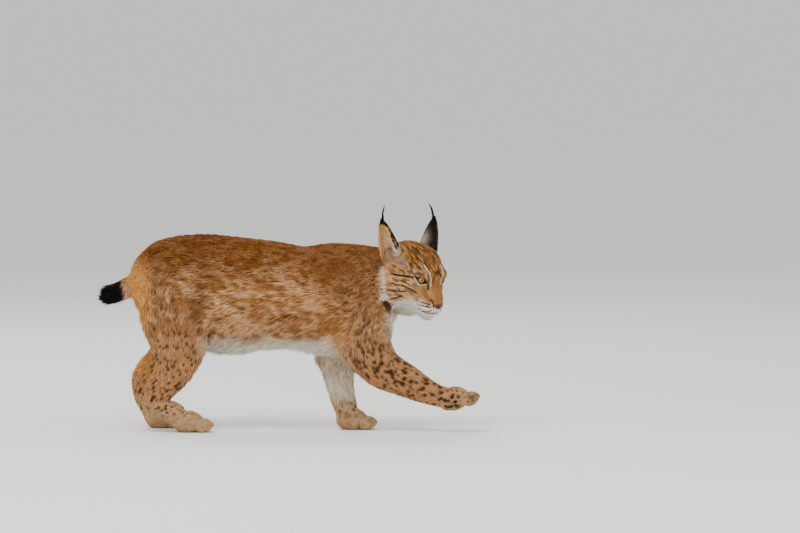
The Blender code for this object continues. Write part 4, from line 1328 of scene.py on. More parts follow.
def thinned(points: Array, faces: Array, target: int) -> tuple[Array, Array]:
    """Thin a mesh to about a number of triangles with Blender's Decimate, which keeps the sharper forms."""
    helper = new_piece("thinned", points, faces)
    change = helper.modifiers.new("thin", "DECIMATE")
    change.ratio = target / (2 * len(faces))
    graph = bpy.context.evaluated_depsgraph_get()
    mesh = bpy.data.meshes.new_from_object(helper.evaluated_get(graph))
    mesh.calc_loop_triangles()
    place = np.empty(len(mesh.vertices) * 3, np.float32)
    mesh.vertices.foreach_get("co", place)
    rows = np.empty(len(mesh.loop_triangles) * 3, np.int32)
    mesh.loop_triangles.foreach_get("vertices", rows)
    source = helper.data
    bpy.data.objects.remove(helper, do_unlink=True)
    bpy.data.meshes.remove(source)
    bpy.data.meshes.remove(mesh)
    return place.reshape(-1, 3).astype(float), rows.reshape(-1, 3)


def painted(paint: Callable[[Array], Array], root: Array, way: Array, length: Array) -> Array:
    """The colours under the root, the middle and the tip of each tuft, which keep long fur's marks sharp."""
    return np.stack([paint(root + way * (length * share)[:, None]) for share in (0.1, 0.5, 0.92)], axis=1)


def scatter(points: Array, faces: Array, spacing: float, seed: int) -> Array:
    """Spread places evenly over a mesh: random ones, of which each small cube of space keeps one.

    Args:
        points: The mesh's vertices.
        faces: Its triangles.
        spacing: Side of the cubes.
        seed: Number that picks the places.

    Returns:
        The places.
    """
    tries = 3.5
    rng = np.random.default_rng(seed)
    first, second, third = (points[faces[:, i]] for i in range(3))
    area = lengths(np.cross(second - first, third - first)) / 2
    count = int(area.sum() / spacing**2 * tries)
    pick = np.searchsorted(np.cumsum(area), rng.random(count) * area.sum()).clip(max=len(faces) - 1)
    s, t = rng.random((2, count, 1))
    over = s + t > 1
    s, t = np.where(over, 1 - s, s), np.where(over, 1 - t, t)
    places = first[pick] + (second - first)[pick] * s + (third - first)[pick] * t
    cell = np.floor(places / spacing + 1000).astype(np.int64)
    key = cell[:, 0] * 4000000 + cell[:, 1] * 2000 + cell[:, 2]
    kept = np.unique(key, return_index=True)[1]
    return places[rng.permutation(kept)]


def clumping(places: Array, size: float, seed: int, waves: int = 14) -> Array:
    """A field that draws tips together: the slope of a sum of waves of about one length, in random ways."""
    rng = np.random.default_rng(seed)
    way = unit(rng.normal(size=(waves, 3))) * (2 * math.pi / size) * rng.uniform(0.7, 1.5, (waves, 1))
    phase = rng.uniform(0, 2 * math.pi, waves)
    return np.cos(places @ way.T + phase) @ (way * size / (2 * math.pi)) / math.sqrt(waves)


@dataclass
class Tufts:
    """Tufts as arrays, one row to a tuft: where each is rooted, how it lies, its sizes and its colour.

    The colour has three rows to a tuft: at its root, its middle and its tip.
    """

    root: Array
    normal: Array
    way: Array
    length: Array
    width: Array
    lift: Array
    colour: Array
    unwrap: Array
    pull: Array

    def picked(self, rows: Array) -> "Tufts":
        """Some of the tufts."""
        return Tufts(*(getattr(self, word)[rows] for word in self.__dataclass_fields__))

    def placed(self) -> "Tufts":
        """The tufts turned from the head's frame into the world."""
        axes = HEAD.axes.T
        root, way = HEAD.world(self.root), self.way @ axes
        return replace(self, root=root, normal=self.normal @ axes, way=way, pull=self.pull @ axes)


TUFT_FACES = np.array(
    [
        (0, 1, 4), (0, 4, 3), (1, 2, 5), (1, 5, 4), (2, 0, 3),
        (2, 3, 5), (3, 4, 6), (4, 5, 6), (5, 3, 6), (2, 1, 0),
    ]
)
TUFT_CORNERS = 7
MOST_TUFTS = 19900
PATCH = 0.003
ROOT_DEPTH = 0.0012


def tuft_piece(
    name: str, tufts: Tufts, material: Material, seed: int, tip: float = 1.22
) -> Piece:
    """Build tufts as closed three-sided blades: a ring at the root, one at the middle, and a tip.

    The middle is root + 0.45 length along the rising way. The tip is 0.55 length on, along the way laid
    flatter and drawn by the clumping pull. The colours hold painted shade, darker at the root, and painted
    light, paler at the tip.

    Args:
        name: The piece's name.
        tufts: The tufts.
        material: Their finish.
        seed: Number that picks the variation.
        tip: Brightness of the tips, which is painted light.

    Returns:
        The piece.
    """
    rng = np.random.default_rng(seed)
    count = len(tufts.root)
    length = tufts.length[:, None]
    rise = tufts.lift[:, None]
    across = unit(np.cross(tufts.way, tufts.normal))
    first = tufts.way * np.cos(rise) + tufts.normal * np.sin(rise)
    second = unit(tufts.way * np.cos(0.35 * rise) + tufts.normal * np.sin(0.35 * rise) + tufts.pull)
    start = tufts.root - tufts.normal * ROOT_DEPTH - first * ROOT_DEPTH
    middle = tufts.root + first * length * 0.45
    end = middle + second * length * 0.55
    width = tufts.width[:, None]
    roll = rng.uniform(-0.5, 0.5, (count, 1))
    broad = unit(across * np.cos(roll) + tufts.normal * np.sin(roll))
    up = facing(np.cross(broad, first), tufts.normal)
    rings = []
    for place, size in ((start, 0.85), (middle, 0.80)):
        half = broad * width * size / 2
        rings += [place - half, place + half, place + up * width * size * 0.30]
    points = np.stack(rings + [end], axis=1)
    number = np.arange(count)[:, None, None]
    faces = TUFT_FACES[None] + TUFT_CORNERS * number
    corners = points[number, TUFT_FACES[None]]
    centre = points.mean(axis=1)
    areas = np.cross(corners[:, :, 1] - corners[:, :, 0], corners[:, :, 2] - corners[:, :, 0])
    volume = np.einsum("nfi,nfi->n", corners[:, :, 0] - centre[:, None], areas)
    faces = np.where((volume < 0)[:, None, None], faces[:, :, ::-1], faces)
    tone = rng.uniform(0.84, 1.16, (count, 1, 1))
    # Painted shade darkens the root ring and the middle, and painted light brightens the tip, by these
    # levels.
    root_shade_tip_light = np.array([0.66, 0.66, 0.70, 0.94, 0.94, 1.0, tip])[None, :, None]
    colour = np.clip(tufts.colour[:, [0, 0, 0, 1, 1, 1, 2]] * tone * root_shade_tip_light, 0, 0.95)
    looks = {"coat": colour.reshape(-1, 3)}
    piece = new_piece(name, points.reshape(-1, 3), faces.reshape(-1, 3), looks, material)
    spread = np.array([(-0.5, 0), (0.5, 0), (0, 0.05), (-0.4, 0.45), (0.4, 0.45), (0, 0.5), (0, 1)]) * PATCH
    uv = tufts.unwrap[:, None] + spread[None]
    rows = faces.reshape(count, -1)
    layer = piece.data.uv_layers.new(name="OFBake")
    layer.data.foreach_set("uv", uv.reshape(-1, 2)[rows.ravel()].astype(np.float32).ravel())
    return piece


@dataclass
class Coat:
    """The coat of tufts over the skin."""

    skin: Skin
    trunk_spacing: float = 0.0030
    leg_spacing: float = 0.0029
    tail_spacing: float = 0.0017
    head_spacing: float = 0.0018
    seed: int = 5

    def grow(self, material: Material) -> list[Piece]:
        """Root the tufts of the body, the paws and the head, and build a piece for each stretch."""
        pieces = self.body_pieces(material)
        return pieces + self.head_pieces(material)

    def body_roots(self) -> tuple[Array, Array]:
        """Places and normals of the roots on trunk, neck, tail, legs and paws, outside the head."""
        points, faces = self.skin.parts[0]
        places = scatter(points, faces, self.trunk_spacing, self.seed)
        fine = scatter(points, faces, self.leg_spacing, self.seed + 1)
        shares = ANATOMY.locate(places)[0]
        limbs = shares[:, 2:].sum(axis=1) > 0.6
        fine_shares = ANATOMY.locate(fine)[0]
        tail = scatter(points, faces, self.tail_spacing, self.seed + 7)
        tail = tail[tail[:, 0] < -0.345]
        tail = tail[ANATOMY.locate(tail)[0][:, 2] > 0.6]
        legs = fine[fine_shares[:, 3:].sum(axis=1) > 0.6]
        places = np.vstack([places[~limbs], legs, tail])
        local = HEAD.local(places)
        outside_block = np.any(np.abs(local - (-0.1, 0, 0.01)) >= (0.110, 0.104, 0.104), axis=1)
        places = places[(self.skin.head.at(local) > 0.0005) | outside_block]
        normals = self.skin.body.outward(places)
        for clay, (paw_points, paw_faces) in zip(self.skin.paws, self.skin.parts[1:5]):
            low, high = clay.low + 0.001, clay.low + clay.step * clay.count - 0.003
            within = np.all((places > low) & (places < high), axis=1)
            buried = within & (clay.at(places) < -0.0004)
            places, normals = places[~buried], normals[~buried]
            own = scatter(paw_points, paw_faces, self.leg_spacing * 0.72, self.seed + 2)
            own = own[(self.skin.body.at(own) > 0.0002) & (own[:, 2] > 0.003)]
            places = np.vstack([places, own])
            normals = np.vstack([normals, clay.outward(own)])
        return places, normals

    def body_pieces(self, material: Material) -> list[Piece]:
        """Tufts of everything but the head: their lie, lengths and colours, then one piece to a stretch."""
        root, normal = self.body_roots()
        rng = np.random.default_rng(self.seed + 3)
        shares, way, nearest = ANATOMY.locate(root)
        x, _, z = root.T
        trunk = shares[:, 0] + shares[:, 1]
        hang = trunk * (0.25 + 0.55 * (1 - ramp(z, 0.22, 0.34)))
        way = way + np.array([0, 0, -1.0]) * hang[:, None]
        rump = (1 - shares[:, 2]) * (1 - ramp(x, -0.340, -0.290)) * ramp(z, 0.16, 0.24)
        way = way + np.array([1.15, 0, -0.9]) * rump[:, None]
        neck = shares[:, 1] * ramp(x, 0.12, 0.24)
        way = way + np.array([-0.2, 0, -0.5]) * neck[:, None]
        way = way + 0.22 * clumping(root, 0.030, 1) + rng.normal(scale=0.10, size=root.shape)
        way = squared(way, normal)
        legs = shares[:, 3:].sum(axis=1)
        brush = shares[:, 2] * (1 - ramp(x, -0.40, -0.375))
        brush_end = brush * (1 - ramp(x, -0.428, -0.408))
        length = 0.024 * trunk + 0.017 * shares[:, 2] + 0.015 * legs + 0.007 * brush + 0.004 * brush_end
        length = length + trunk * (0.020 * (1 - ramp(z, 0.190, 0.235)) - 0.005 * ramp(z, 0.42, 0.46))
        by_head = 1 - ramp(self.skin.head.at(HEAD.local(root)), 0.008, 0.040)
        length = length * (1 - 0.70 * by_head * trunk) * (1 - 0.50 * rump * ramp(z, 0.30, 0.36))
        rear = legs * (1 - ramp(x, -0.345, -0.315)) * ramp(z, 0.19, 0.24)
        length = length + 0.008 * rear + 0.006 * legs * ramp(z, 0.20, 0.28)
        length = length * (1 - 0.55 * legs * (1 - ramp(z, 0.03, 0.11)))
        length = length * rng.uniform(0.8, 1.18, len(x))
        paw = np.zeros(len(x), bool)
        for item in PAWS:
            paw |= lengths(root - np.array(item.middle) - item.axes @ (0.01, 0, 0)) < 0.048
        length = np.where(paw, 0.0075 * rng.uniform(0.8, 1.2, len(x)), length)
        width = np.where(paw, 0.0015, 0.0027 * trunk + 0.0028 * shares[:, 2] + 0.0023 * legs)
        degrees = 24 * trunk + 17 * shares[:, 2] + 24 * legs + 22 * brush + 26 * brush_end
        lift = np.radians(np.where(paw, 20, degrees)) * rng.uniform(0.65, 1.35, len(x))
        colour = painted(lambda places: MARKINGS.body(places, shares), root, way, length)
        pull = 0.20 * clumping(root, 0.012, 2)
        tufts = Tufts(root, normal, way, length, width, lift, colour, ANATOMY.unwrap(root, nearest), pull)
        group = ANATOMY.group[nearest]
        pieces = []
        for number, path in enumerate(PATHS):
            rows = np.flatnonzero(group == number)
            sides = len(rows) > MOST_TUFTS
            rows = rows[np.argsort(x[rows] + 10 * (root[rows, 1] > 0) * sides)]
            pieces += self.divided(path.name, tufts, rows, material, number * 10, 1.22)
        return pieces

    def divided(
        self, word: str, tufts: Tufts, rows: Array, material: Material, seed: int, tip: float
    ) -> list[Piece]:
        """Build some of the tufts, in the order of their rows, as equal pieces of at most MOST_TUFTS each."""
        parts = np.array_split(rows, math.ceil(len(rows) / MOST_TUFTS))
        pieces = []
        for i, part in enumerate(parts):
            name = f"coat_{word}" + (f"_{i + 1}" if len(parts) > 1 else "")
            pieces.append(tuft_piece(name, tufts.picked(part), material, seed + i, tip))
        return pieces

    def head_pieces(self, material: Material) -> list[Piece]:
        """Tufts of the head: tiny on the face, longer on crown and cheeks, longest at the tip of the ruff."""
        points, faces = self.skin.parts[-1]
        root = scatter(points, faces, self.head_spacing, self.seed + 4)
        local = HEAD.local(root)
        rng = np.random.default_rng(self.seed + 5)
        fine = scatter(points, faces, self.head_spacing * 0.82, self.seed + 6)
        fine_local = HEAD.local(fine)
        near, far = fine_local[:, 0] > FACE_REAR, local[:, 0] <= FACE_REAR
        root = np.vstack([root[far], fine[near]])
        local = np.vstack([local[far], fine_local[near]])
        hidden = self.skin.body.at(root) < 0.0002
        reach = [HEAD.lid_shape(local, side) for side in Side]
        eyes = [(share < 1.32) & (out > 0.003) for out, _, share in reach]
        ball = HEAD.eye_radius + 0.0008
        sunk = [lengths(local - HEAD.eye_middle(side)) < ball for side in Side]
        pad = nose_pad(local) < 1.0
        keep = ~(hidden | eyes[0] | eyes[1] | sunk[0] | sunk[1] | pad)
        root, local = root[keep], local[keep]
        normal = self.skin.head.outward(local)
        a, b, c = local.T
        side = np.abs(b)
        out = np.sign(b) * ramp(side, 0.0, 0.02)
        way = unit(local - (0.030, 0, 0.004))
        down = ramp(side, 0.025, 0.055) * (1 - ramp(c, 0.020, 0.060)) * ramp(-a, 0.055, 0.10)
        way = way + np.column_stack([-0.1 * down, 0.35 * out * down, -0.95 * down])
        hang = ramp(-a, 0.055, 0.09) * (1 - ramp(c, -0.045, -0.025))
        way = way + np.column_stack([-0.2 * hang, 0 * hang, -0.9 * hang])
        way = way + 0.15 * clumping(local, 0.018, 3) + rng.normal(scale=0.09, size=local.shape)
        way = squared(way, normal)
        cheek = ramp(-a, 0.070, 0.115) * ramp(side, 0.030, 0.055) * (1 - ramp(c, 0.015, 0.050))
        tip = bell(a, c, (-0.116, -0.036), (0.030, 0.030)) * ramp(side, 0.03, 0.05)
        ruff = ramp(-a, 0.095, 0.125) * ramp(side, 0.030, 0.050) * (1 - ramp(c, 0.010, 0.040))
        from_ear = lengths(np.column_stack([a, side, c]) - (-0.140, 0.066, 0.050))
        by_ear = 1 - ramp(from_ear, 0.012, 0.034)
        length = 0.0042 + 0.006 * ramp(-a, 0.045, 0.11) + 0.006 * cheek + 0.017 * ruff + 0.014 * tip
        length = (length + 0.009 * by_ear + 0.018 * hang) * rng.uniform(0.8, 1.2, len(a))
        far = np.min([lengths(local - HEAD.eye_middle(item)) for item in Side], axis=0)
        length = length * (0.42 + 0.58 * ramp(far, 0.018, 0.036))
        width = 0.0011 + 0.0007 * ramp(-a, 0.045, 0.10) + 0.0006 * np.maximum(cheek, tip)
        degrees = 17 + 6 * cheek + 24 * ruff + 8 * tip + 5 * ramp(-a, 0.05, 0.1) + 8 * by_ear
        lift = np.radians(degrees) * rng.uniform(0.7, 1.3, len(a))
        over_eye = np.zeros(len(a), bool)
        for item in Side:
            reach, _, share = HEAD.lid_shape(local + way * length[:, None], item)
            over_eye |= (share < 1.12) & (reach > 0.004)
        length = np.where(over_eye, 0.0022, length)
        colour = painted(MARKINGS.head, local, way, length)
        turn = np.arctan2(b, c) / (2 * math.pi)
        unwrap = np.column_stack([0.04 + 0.90 * (a + 0.215) / 0.23, 0.04 + 0.90 * (turn + 0.5)])
        pull = 0.25 * clumping(local, 0.008, 4)
        tufts = Tufts(local, normal, way, length, width, lift, colour, unwrap, pull).placed()
        face = a > FACE_REAR
        pieces = []
        parts = {"face": face, "crown_right": ~face & (b < 0), "crown_left": ~face & (b >= 0)}
        for word, chosen in parts.items():
            rows = np.flatnonzero(chosen)
            pieces += self.divided(word, tufts, rows[np.argsort(b[rows])], material, 100, 1.15)
        return pieces


@dataclass
class Ear:
    """One ear: a leaf folded into a cup, its skin and coat, the hair at its mouth and the tip's tuft."""

    side: Side
    base: Triple = (-0.149, 0.064, 0.058)
    tip: Triple = (-0.192, 0.094, 0.130)
    tuft_end: Triple = (-0.2085, 0.076, 0.1507)
    mouth: Triple = (0.10, 0.99, 0.0)
    half_width: float = 0.030
    depth: float = 0.020
    wall: float = 0.0018
    inset: float = 0.0012
    arc: float = math.radians(118)

    def frame(self) -> tuple[Array, Array, Array, Array, float]:
        """The ear's base, its way up, the way its mouth faces, the way across, and its length."""
        flip = np.array((1, self.side.value, 1))
        base, tip = np.array(self.base) * flip, np.array(self.tip) * flip
        up = unit(tip - base)
        mouth = np.array(self.mouth) * flip
        mouth = unit(mouth - up * (mouth @ up))
        return base, up, mouth, np.cross(up, mouth), float(np.linalg.norm(tip - base))

    def section(self, height: Array, least: float) -> tuple[Array, Array]:
        """Half width and depth of the shell at a height, with its taper kept above a least value."""
        taper = np.maximum(1 - height, least) ** 0.62
        wide = self.half_width * np.minimum(1, taper * (1 + 0.25 * height))
        return wide, self.depth * np.minimum(1, taper)

    def leaf(self, height: Array, angle: Array, drawn_in: float) -> Array:
        """Points of the ear's shell in the head's frame.

        At a height h the shell is an arc of an ellipse that is open to the front. Its half width tapers as
        (1 - h) to the power 0.62, a little fuller above the base.

        Args:
            height: Share of the ear's length.
            angle: Angle from the ear's back, positive across.
            drawn_in: How far the surface lies inside the outer one.

        Returns:
            Points with a last axis of three.
        """
        base, up, mouth, across, length = self.frame()
        sizes = (np.maximum(size - self.inset, 0.0008) for size in self.section(height, 0))
        wide, deep = (size - np.minimum(drawn_in, size * 0.6) for size in sizes)
        middle = base + up * (length * height)[..., None]
        aside = across * (wide * np.sin(angle))[..., None]
        return middle + aside - mouth * (deep * np.cos(angle))[..., None]

    def build(self, skin: Material) -> Piece:
        """The ear's skin: its outside and inside arcs as one closed loop at each height."""
        heights = np.linspace(-0.35, 0.985, 34)
        turns = np.linspace(-self.arc, self.arc, 21)
        high, angle = np.meshgrid(heights, turns, indexing="ij")
        outer = self.leaf(high, angle, 0.0)
        inner = self.leaf(high, angle, self.wall)[:, ::-1]
        rings = np.concatenate([outer, inner], axis=1)
        columns = rings.shape[1]
        points = rings.reshape(-1, 3)
        low, top = rings[0].mean(axis=0), rings[-1].mean(axis=0)
        triangles = quads_to_triangles(grid_faces(len(heights), columns, True))
        ring = np.arange(columns)
        last = len(points) - columns
        caps = np.vstack([
            np.column_stack([np.roll(ring, -1), ring, np.full(columns, len(points))]),
            np.column_stack([ring + last, np.roll(ring, -1) + last, np.full(columns, len(points) + 1)]),
        ])
        points = np.vstack([points, low, top])
        within = np.append(np.tile(ring >= columns // 2, len(heights)), [False, False])
        faces = np.vstack([triangles, caps])
        corners = points[faces]
        if np.einsum("fi,fi", corners[:, 0], np.cross(corners[:, 1], corners[:, 2])) < 0:
            faces = faces[:, ::-1]
        looks = {"coat": self.colours(points, within), "bare": np.zeros(len(points))}
        return new_piece(f"ear_skin_{self.side.word}", HEAD.world(points), faces, looks, skin)

    def coordinates(self, places: Array) -> tuple[Array, Array]:
        """Height and angle from the back for points near the ear."""
        base, up, mouth, across, length = self.frame()
        away = places - base
        height = away @ up / length
        wide, deep = (np.maximum(size, 0.002) for size in self.section(height, 0.02))
        return height, np.arctan2(away @ across / wide, -(away @ mouth) / deep)

    def colours(self, places: Array, within: Array) -> Array:
        """Markings of the ear: black margins and tip, a grey patch on its back, tan and white inside.

        Args:
            places: Points in the head's frame.
            within: Whether each point lies on the inside.

        Returns:
            Linear colours, one row to a point.
        """
        height, angle = self.coordinates(places)
        front = angle * self.front_sign()
        fine = noise(places, 0.004, 81)
        patch = bell(height, front, (0.32, -0.35), (0.22, 0.75))
        low = (1 - ramp(height, 0.10, 0.26)) * ramp(front, 0.9, 1.3) * (self.side is Side.RIGHT)
        back = mix(PALETTE.black, PALETTE.grey, np.clip(1.1 * patch + low, 0, 0.95))
        back = mix(back, PALETTE.orange, 0.8 * ramp(-front, 1.15, 1.6) * (1 - ramp(height, 0.72, 0.86)))
        back = mix(back, PALETTE.crown, 1 - ramp(height + 0.05 * fine, -0.02, 0.10))
        inside = mix(PALETTE.ear_inside, PALETTE.orange, ramp(height, 0.30, 0.75) * 0.65)
        inside = mix(inside, PALETTE.black, ramp(front, 1.25, 1.65) * ramp(height, 0.05, 0.25))
        inside = mix(inside, PALETTE.black, ramp(height, 0.80, 0.93))
        colour = np.where(within[:, None], inside, back)
        return colour * (0.9 + 0.2 * fine)[:, None]

    def front_sign(self) -> float:
        """The sign of the angle on the ear's front margin."""
        across = self.frame()[3]
        return float(np.sign(across[0]))

    def coat(self, material: Material) -> Piece:
        """Short hair on both faces of the ear, long hair over its mouth, and the tuft on its tip."""
        rng = np.random.default_rng(200 + self.side.value)
        back = self.rows_on_shell(2600, rng, 0.0, 0.0058, 0.0013, 14)
        inner = self.rows_on_shell(1500, rng, self.wall, 0.0090, 0.0012, 16)
        groups = [back, inner, self.margin_hair(rng), self.tuft(rng)]
        fields = Tufts.__dataclass_fields__
        joined = (np.concatenate([getattr(group, word) for group in groups]) for word in fields)
        tufts = Tufts(*joined).placed()
        return tuft_piece(f"coat_ear_{self.side.word}", tufts, material, 210 + self.side.value, tip=1.1)

    def rows_on_shell(
        self, count: int, rng: np.random.Generator, drawn_in: float, length: float, width: float, lift: float
    ) -> Tufts:
        """Tufts spread over one face of the shell, pointing to the tip.

        Args:
            count: How many.
            rng: Source of the random numbers.
            drawn_in: How far the face lies inside the outer one, 0 for the outer one itself.
            length: Mean length.
            width: Width of each.
            lift: Mean rise over the skin, in degrees.

        Returns:
            The tufts, in the head's frame.
        """
        height = 1.0 - rng.random(count) ** 0.75 * 1.12
        angle = rng.uniform(-self.arc, self.arc, count)
        height = np.minimum(height, 0.97)
        root = self.leaf(height, angle, drawn_in)
        step = 0.01
        rise = unit(self.leaf(height + step, angle, drawn_in) - self.leaf(height - step, angle, drawn_in))
        side = unit(self.leaf(height, angle + step, drawn_in) - self.leaf(height, angle - step, drawn_in))
        _, _, mouth, across, _ = self.frame()
        outward = across * np.sin(angle)[:, None] - mouth * np.cos(angle)[:, None]
        wanted = outward if drawn_in == 0 else -outward
        normal = facing(unit(np.cross(side, rise)), wanted)
        way = unit(rise + rng.normal(scale=0.14, size=rise.shape))
        way = squared(way, normal)
        sizes = rng.uniform(0.75, 1.2, count)
        colour = self.colours(root + rise * length * 0.5, np.full(count, drawn_in > 0))
        colour = np.repeat(colour[:, None], 3, axis=1)
        across_map = 0.05 + 0.4 * (angle / self.arc * 0.5 + 0.5) + 0.48 * (drawn_in > 0)
        unwrap = np.column_stack([across_map, 0.05 + 0.88 * np.clip(height + 0.15, 0, 1.15) / 1.15])
        lifts = np.radians(lift) * rng.uniform(0.7, 1.3, count)
        root, widths, pull = root + wanted * 0.0006, np.full(count, width), 0.15 * clumping(root, 0.006, 6)
        return Tufts(root, normal, way, length * sizes, widths, lifts, colour, unwrap, pull)

    def margin_hair(self, rng: np.random.Generator) -> Tufts:
        """Long pale hair from the front and rear margins, reaching over the mouth of the ear."""
        count = 760
        _, up, mouth, across, _ = self.frame()
        height = rng.uniform(-0.12, 0.72, count)
        margin = np.where(rng.random(count) < 0.68, 1.0, -1.0) * self.front_sign()
        angle = margin * self.arc * rng.uniform(0.55, 0.93, count)
        root = self.leaf(height, angle, self.wall * 0.5)
        inward = -across * np.sin(angle)[:, None]
        way = up + (0.2 + 0.7 * rng.random((count, 1))) * inward + 0.15 * mouth
        way = unit(way + rng.normal(scale=0.20, size=root.shape))
        normal = np.broadcast_to(mouth, root.shape)
        normal = squared(normal, way)
        length = 0.020 * (1 - 0.6 * np.clip(height, 0, 1)) * rng.uniform(0.7, 1.2, count)
        front = margin * self.front_sign() > 0
        tan = np.where(front, 0.15 + 0.45 * ramp(height, 0.2, 0.6), 0.85) * rng.uniform(0.7, 1.1, count)
        colour = mix(PALETTE.ear_inside, PALETTE.orange, np.clip(tan, 0, 1))
        colour = mix(colour, PALETTE.white, 0.7 * front * (1 - ramp(height, 0.0, 0.3)))
        colour = np.repeat(colour[:, None], 3, axis=1)
        unwrap = np.column_stack([0.3 + 0.2 * front, 0.1 + 0.8 * (height + 0.12)])
        widths, lifts = np.full(count, 0.0010), np.radians(np.full(count, 8.0))
        pull = 0.10 * clumping(root, 0.008, 7)
        return Tufts(root, normal, way, length, widths, lifts, colour, unwrap, pull)

    def tuft(self, rng: np.random.Generator) -> Tufts:
        """The long black hairs at the tip, which leave it together and come to a point."""
        count = 150
        flip = np.array((1, self.side.value, 1))
        tip, end = np.array(self.tip) * flip, np.array(self.tuft_end) * flip
        _, up, mouth, across, _ = self.frame()
        reach = end - tip
        share = rng.random((count, 1))
        root = tip - up * (0.012 - 0.020 * share) + reach * 0.55 * share**2
        aside = across * rng.normal(size=(count, 1)) + mouth * rng.normal(size=(count, 1))
        root = root + aside * 0.0013 * (1.1 - share)
        way = unit(mix(up, unit(reach), 0.35 + 0.65 * share[:, 0]))
        way = unit(way + rng.normal(scale=0.05, size=root.shape))
        normal = unit(np.cross(way, across))
        length = 0.011 + 0.008 * rng.random(count)
        colour = np.tile(PALETTE.black, (count, 3, 1))
        unwrap = np.tile((0.47, 0.97), (count, 1))
        pull = np.broadcast_to(0.15 * unit(reach), root.shape)
        widths, lifts = np.full(count, 0.0013), np.full(count, 0.02)
        return Tufts(root, normal, way, length, widths, lifts, colour, unwrap, pull)


@dataclass
class Eye:
    """One eyeball, with its cornea standing a little proud."""

    side: Side
    rings: int = 40
    columns: int = 64
    iris_edge: float = 0.72

    def build(self, material: Material) -> Piece:
        """A sphere about the gaze, bulging by a bell of the angle off the gaze.

        The radius at an angle q off the gaze is r (0.985 + 0.030 exp(-(q / 0.42) squared)).
        """
        polar = np.linspace(0.0, math.pi, self.rings)
        turn = np.arange(self.columns) * 2 * math.pi / self.columns
        q, t = np.meshgrid(polar, turn, indexing="ij")
        radius = HEAD.eye_radius * (0.985 + 0.030 * np.exp(-((q / 0.42) ** 2)))
        way = np.stack([np.cos(q), np.sin(q) * np.cos(t), np.sin(q) * np.sin(t)], axis=-1)
        local = (way * radius[..., None]).reshape(-1, 3)
        places = local @ HEAD.gaze_axes(self.side).T + HEAD.eye_middle(self.side)
        quads = grid_faces(self.rings, self.columns, True)[:, ::-1]
        off = (q / self.iris_edge).clip(0, 1).ravel()
        ray = np.tile(np.random.default_rng(9).random(self.columns), (self.rings, 1)).ravel()
        name = f"eyeball_{self.side.word}"
        piece = new_piece(name, HEAD.world(places), quads, {"off_gaze": off, "ray": ray}, material)
        mend(piece, weld=True)
        return piece


def swept(paths: Array, radii: Array, sides: int) -> tuple[Array, Array]:
    """Many thin round tubes at once: a circle carried along each path, open at both ends.

    Args:
        paths: Points as paths, steps, three.
        radii: Radius at each step, the same for all paths.
        sides: Corners of the circle.

    Returns:
        Points and quads.
    """
    count, steps, _ = paths.shape
    along = unit(np.gradient(paths, axis=1))
    across = unit(np.cross(along, np.array([0.21, 0.35, 0.91])))
    over = np.cross(along, across)
    turn = np.arange(sides) * 2 * math.pi / sides
    ring = across[:, :, None] * np.cos(turn)[:, None] + over[:, :, None] * np.sin(turn)[:, None]
    points = paths[:, :, None] + ring * radii[None, :, None, None]
    quads = grid_faces(steps, sides, True)
    faces = quads[None] + (steps * sides) * np.arange(count)[:, None, None]
    return points.reshape(-1, 3), faces.reshape(-1, 4)


@dataclass
class Whiskers:
    """The whiskers of the muzzle and the few long hairs over each eye."""

    length: float = 0.058
    radius: float = 0.00024
    steps: int = 12

    def build(self, material: Material) -> Piece:
        """Curved tapered tubes: root + length (s way + s s sag), rooted in the rows of dots."""
        rng = np.random.default_rng(17)
        root, way, length = [], [], []
        for side in (-1, 1):
            for row, (drop, count) in enumerate(((-0.008, 4), (-0.014, 5), (-0.020, 4))):
                for a in np.linspace(-0.036, -0.018, count):
                    root.append((a, side * (0.030 - 0.30 * (a + 0.036)), drop + 0.10 * (a + 0.036)))
                    way.append((-0.55, side * 1.0, 0.10 - 0.22 * row + rng.normal() * 0.08))
                    length.append(self.length * rng.uniform(0.7, 1.1))
            for b in (0.026, 0.031, 0.036):
                root.append((-0.058, side * b, 0.062))
                way.append((-0.35, side * 0.45, 0.85 + rng.normal() * 0.1))
                length.append(self.length * rng.uniform(0.45, 0.65))
        root, way = np.array(root), unit(np.array(way))
        length = np.array(length)[:, None, None]
        share = np.linspace(-0.12, 1, self.steps)[None, :, None]
        sag = np.array([-0.28, 0, -0.16])
        paths = root[:, None] + length * (way[:, None] * share + sag * share * np.abs(share))
        radii = self.radius * (1 - np.linspace(0, 1, self.steps) ** 1.5) + 0.00003
        points, faces = swept(HEAD.world(paths), radii, 5)
        piece = new_piece("whiskers", points, faces, material=material)
        mend(piece, weld=False)
        return piece


@dataclass
class Claws:
    """Four hooked claws on each paw, mostly drawn in between the tufts of the toes."""

    length: float = 0.0135
    radius: float = 0.0021
    steps: int = 9

    def build(self, material: Material) -> Piece:
        """Tapered tubes that curve down: root + length (0.85 s ahead - 0.62 s s up)."""
        paths = []
        share = np.linspace(0, 1, self.steps)[:, None]
        for paw in PAWS:
            for i in range(paw.toes):
                axes, place = paw.toe_axes(i)
                root = place + axes @ (0.0120, 0, 0.0065)
                ahead, up = axes[:, 0], axes[:, 2]
                paths.append(root + self.length * (ahead * share * 0.85 - up * share**2 * 0.62))
        radii = self.radius * (1 - np.linspace(0, 1, self.steps) ** 1.6) + 0.00012
        points, faces = swept(np.array(paths), radii, 8)
        points[:, 2] = np.maximum(points[:, 2], 0.0008)
        piece = new_piece("claws", points, faces, material=material)
        mend(piece, weld=False)
        return piece


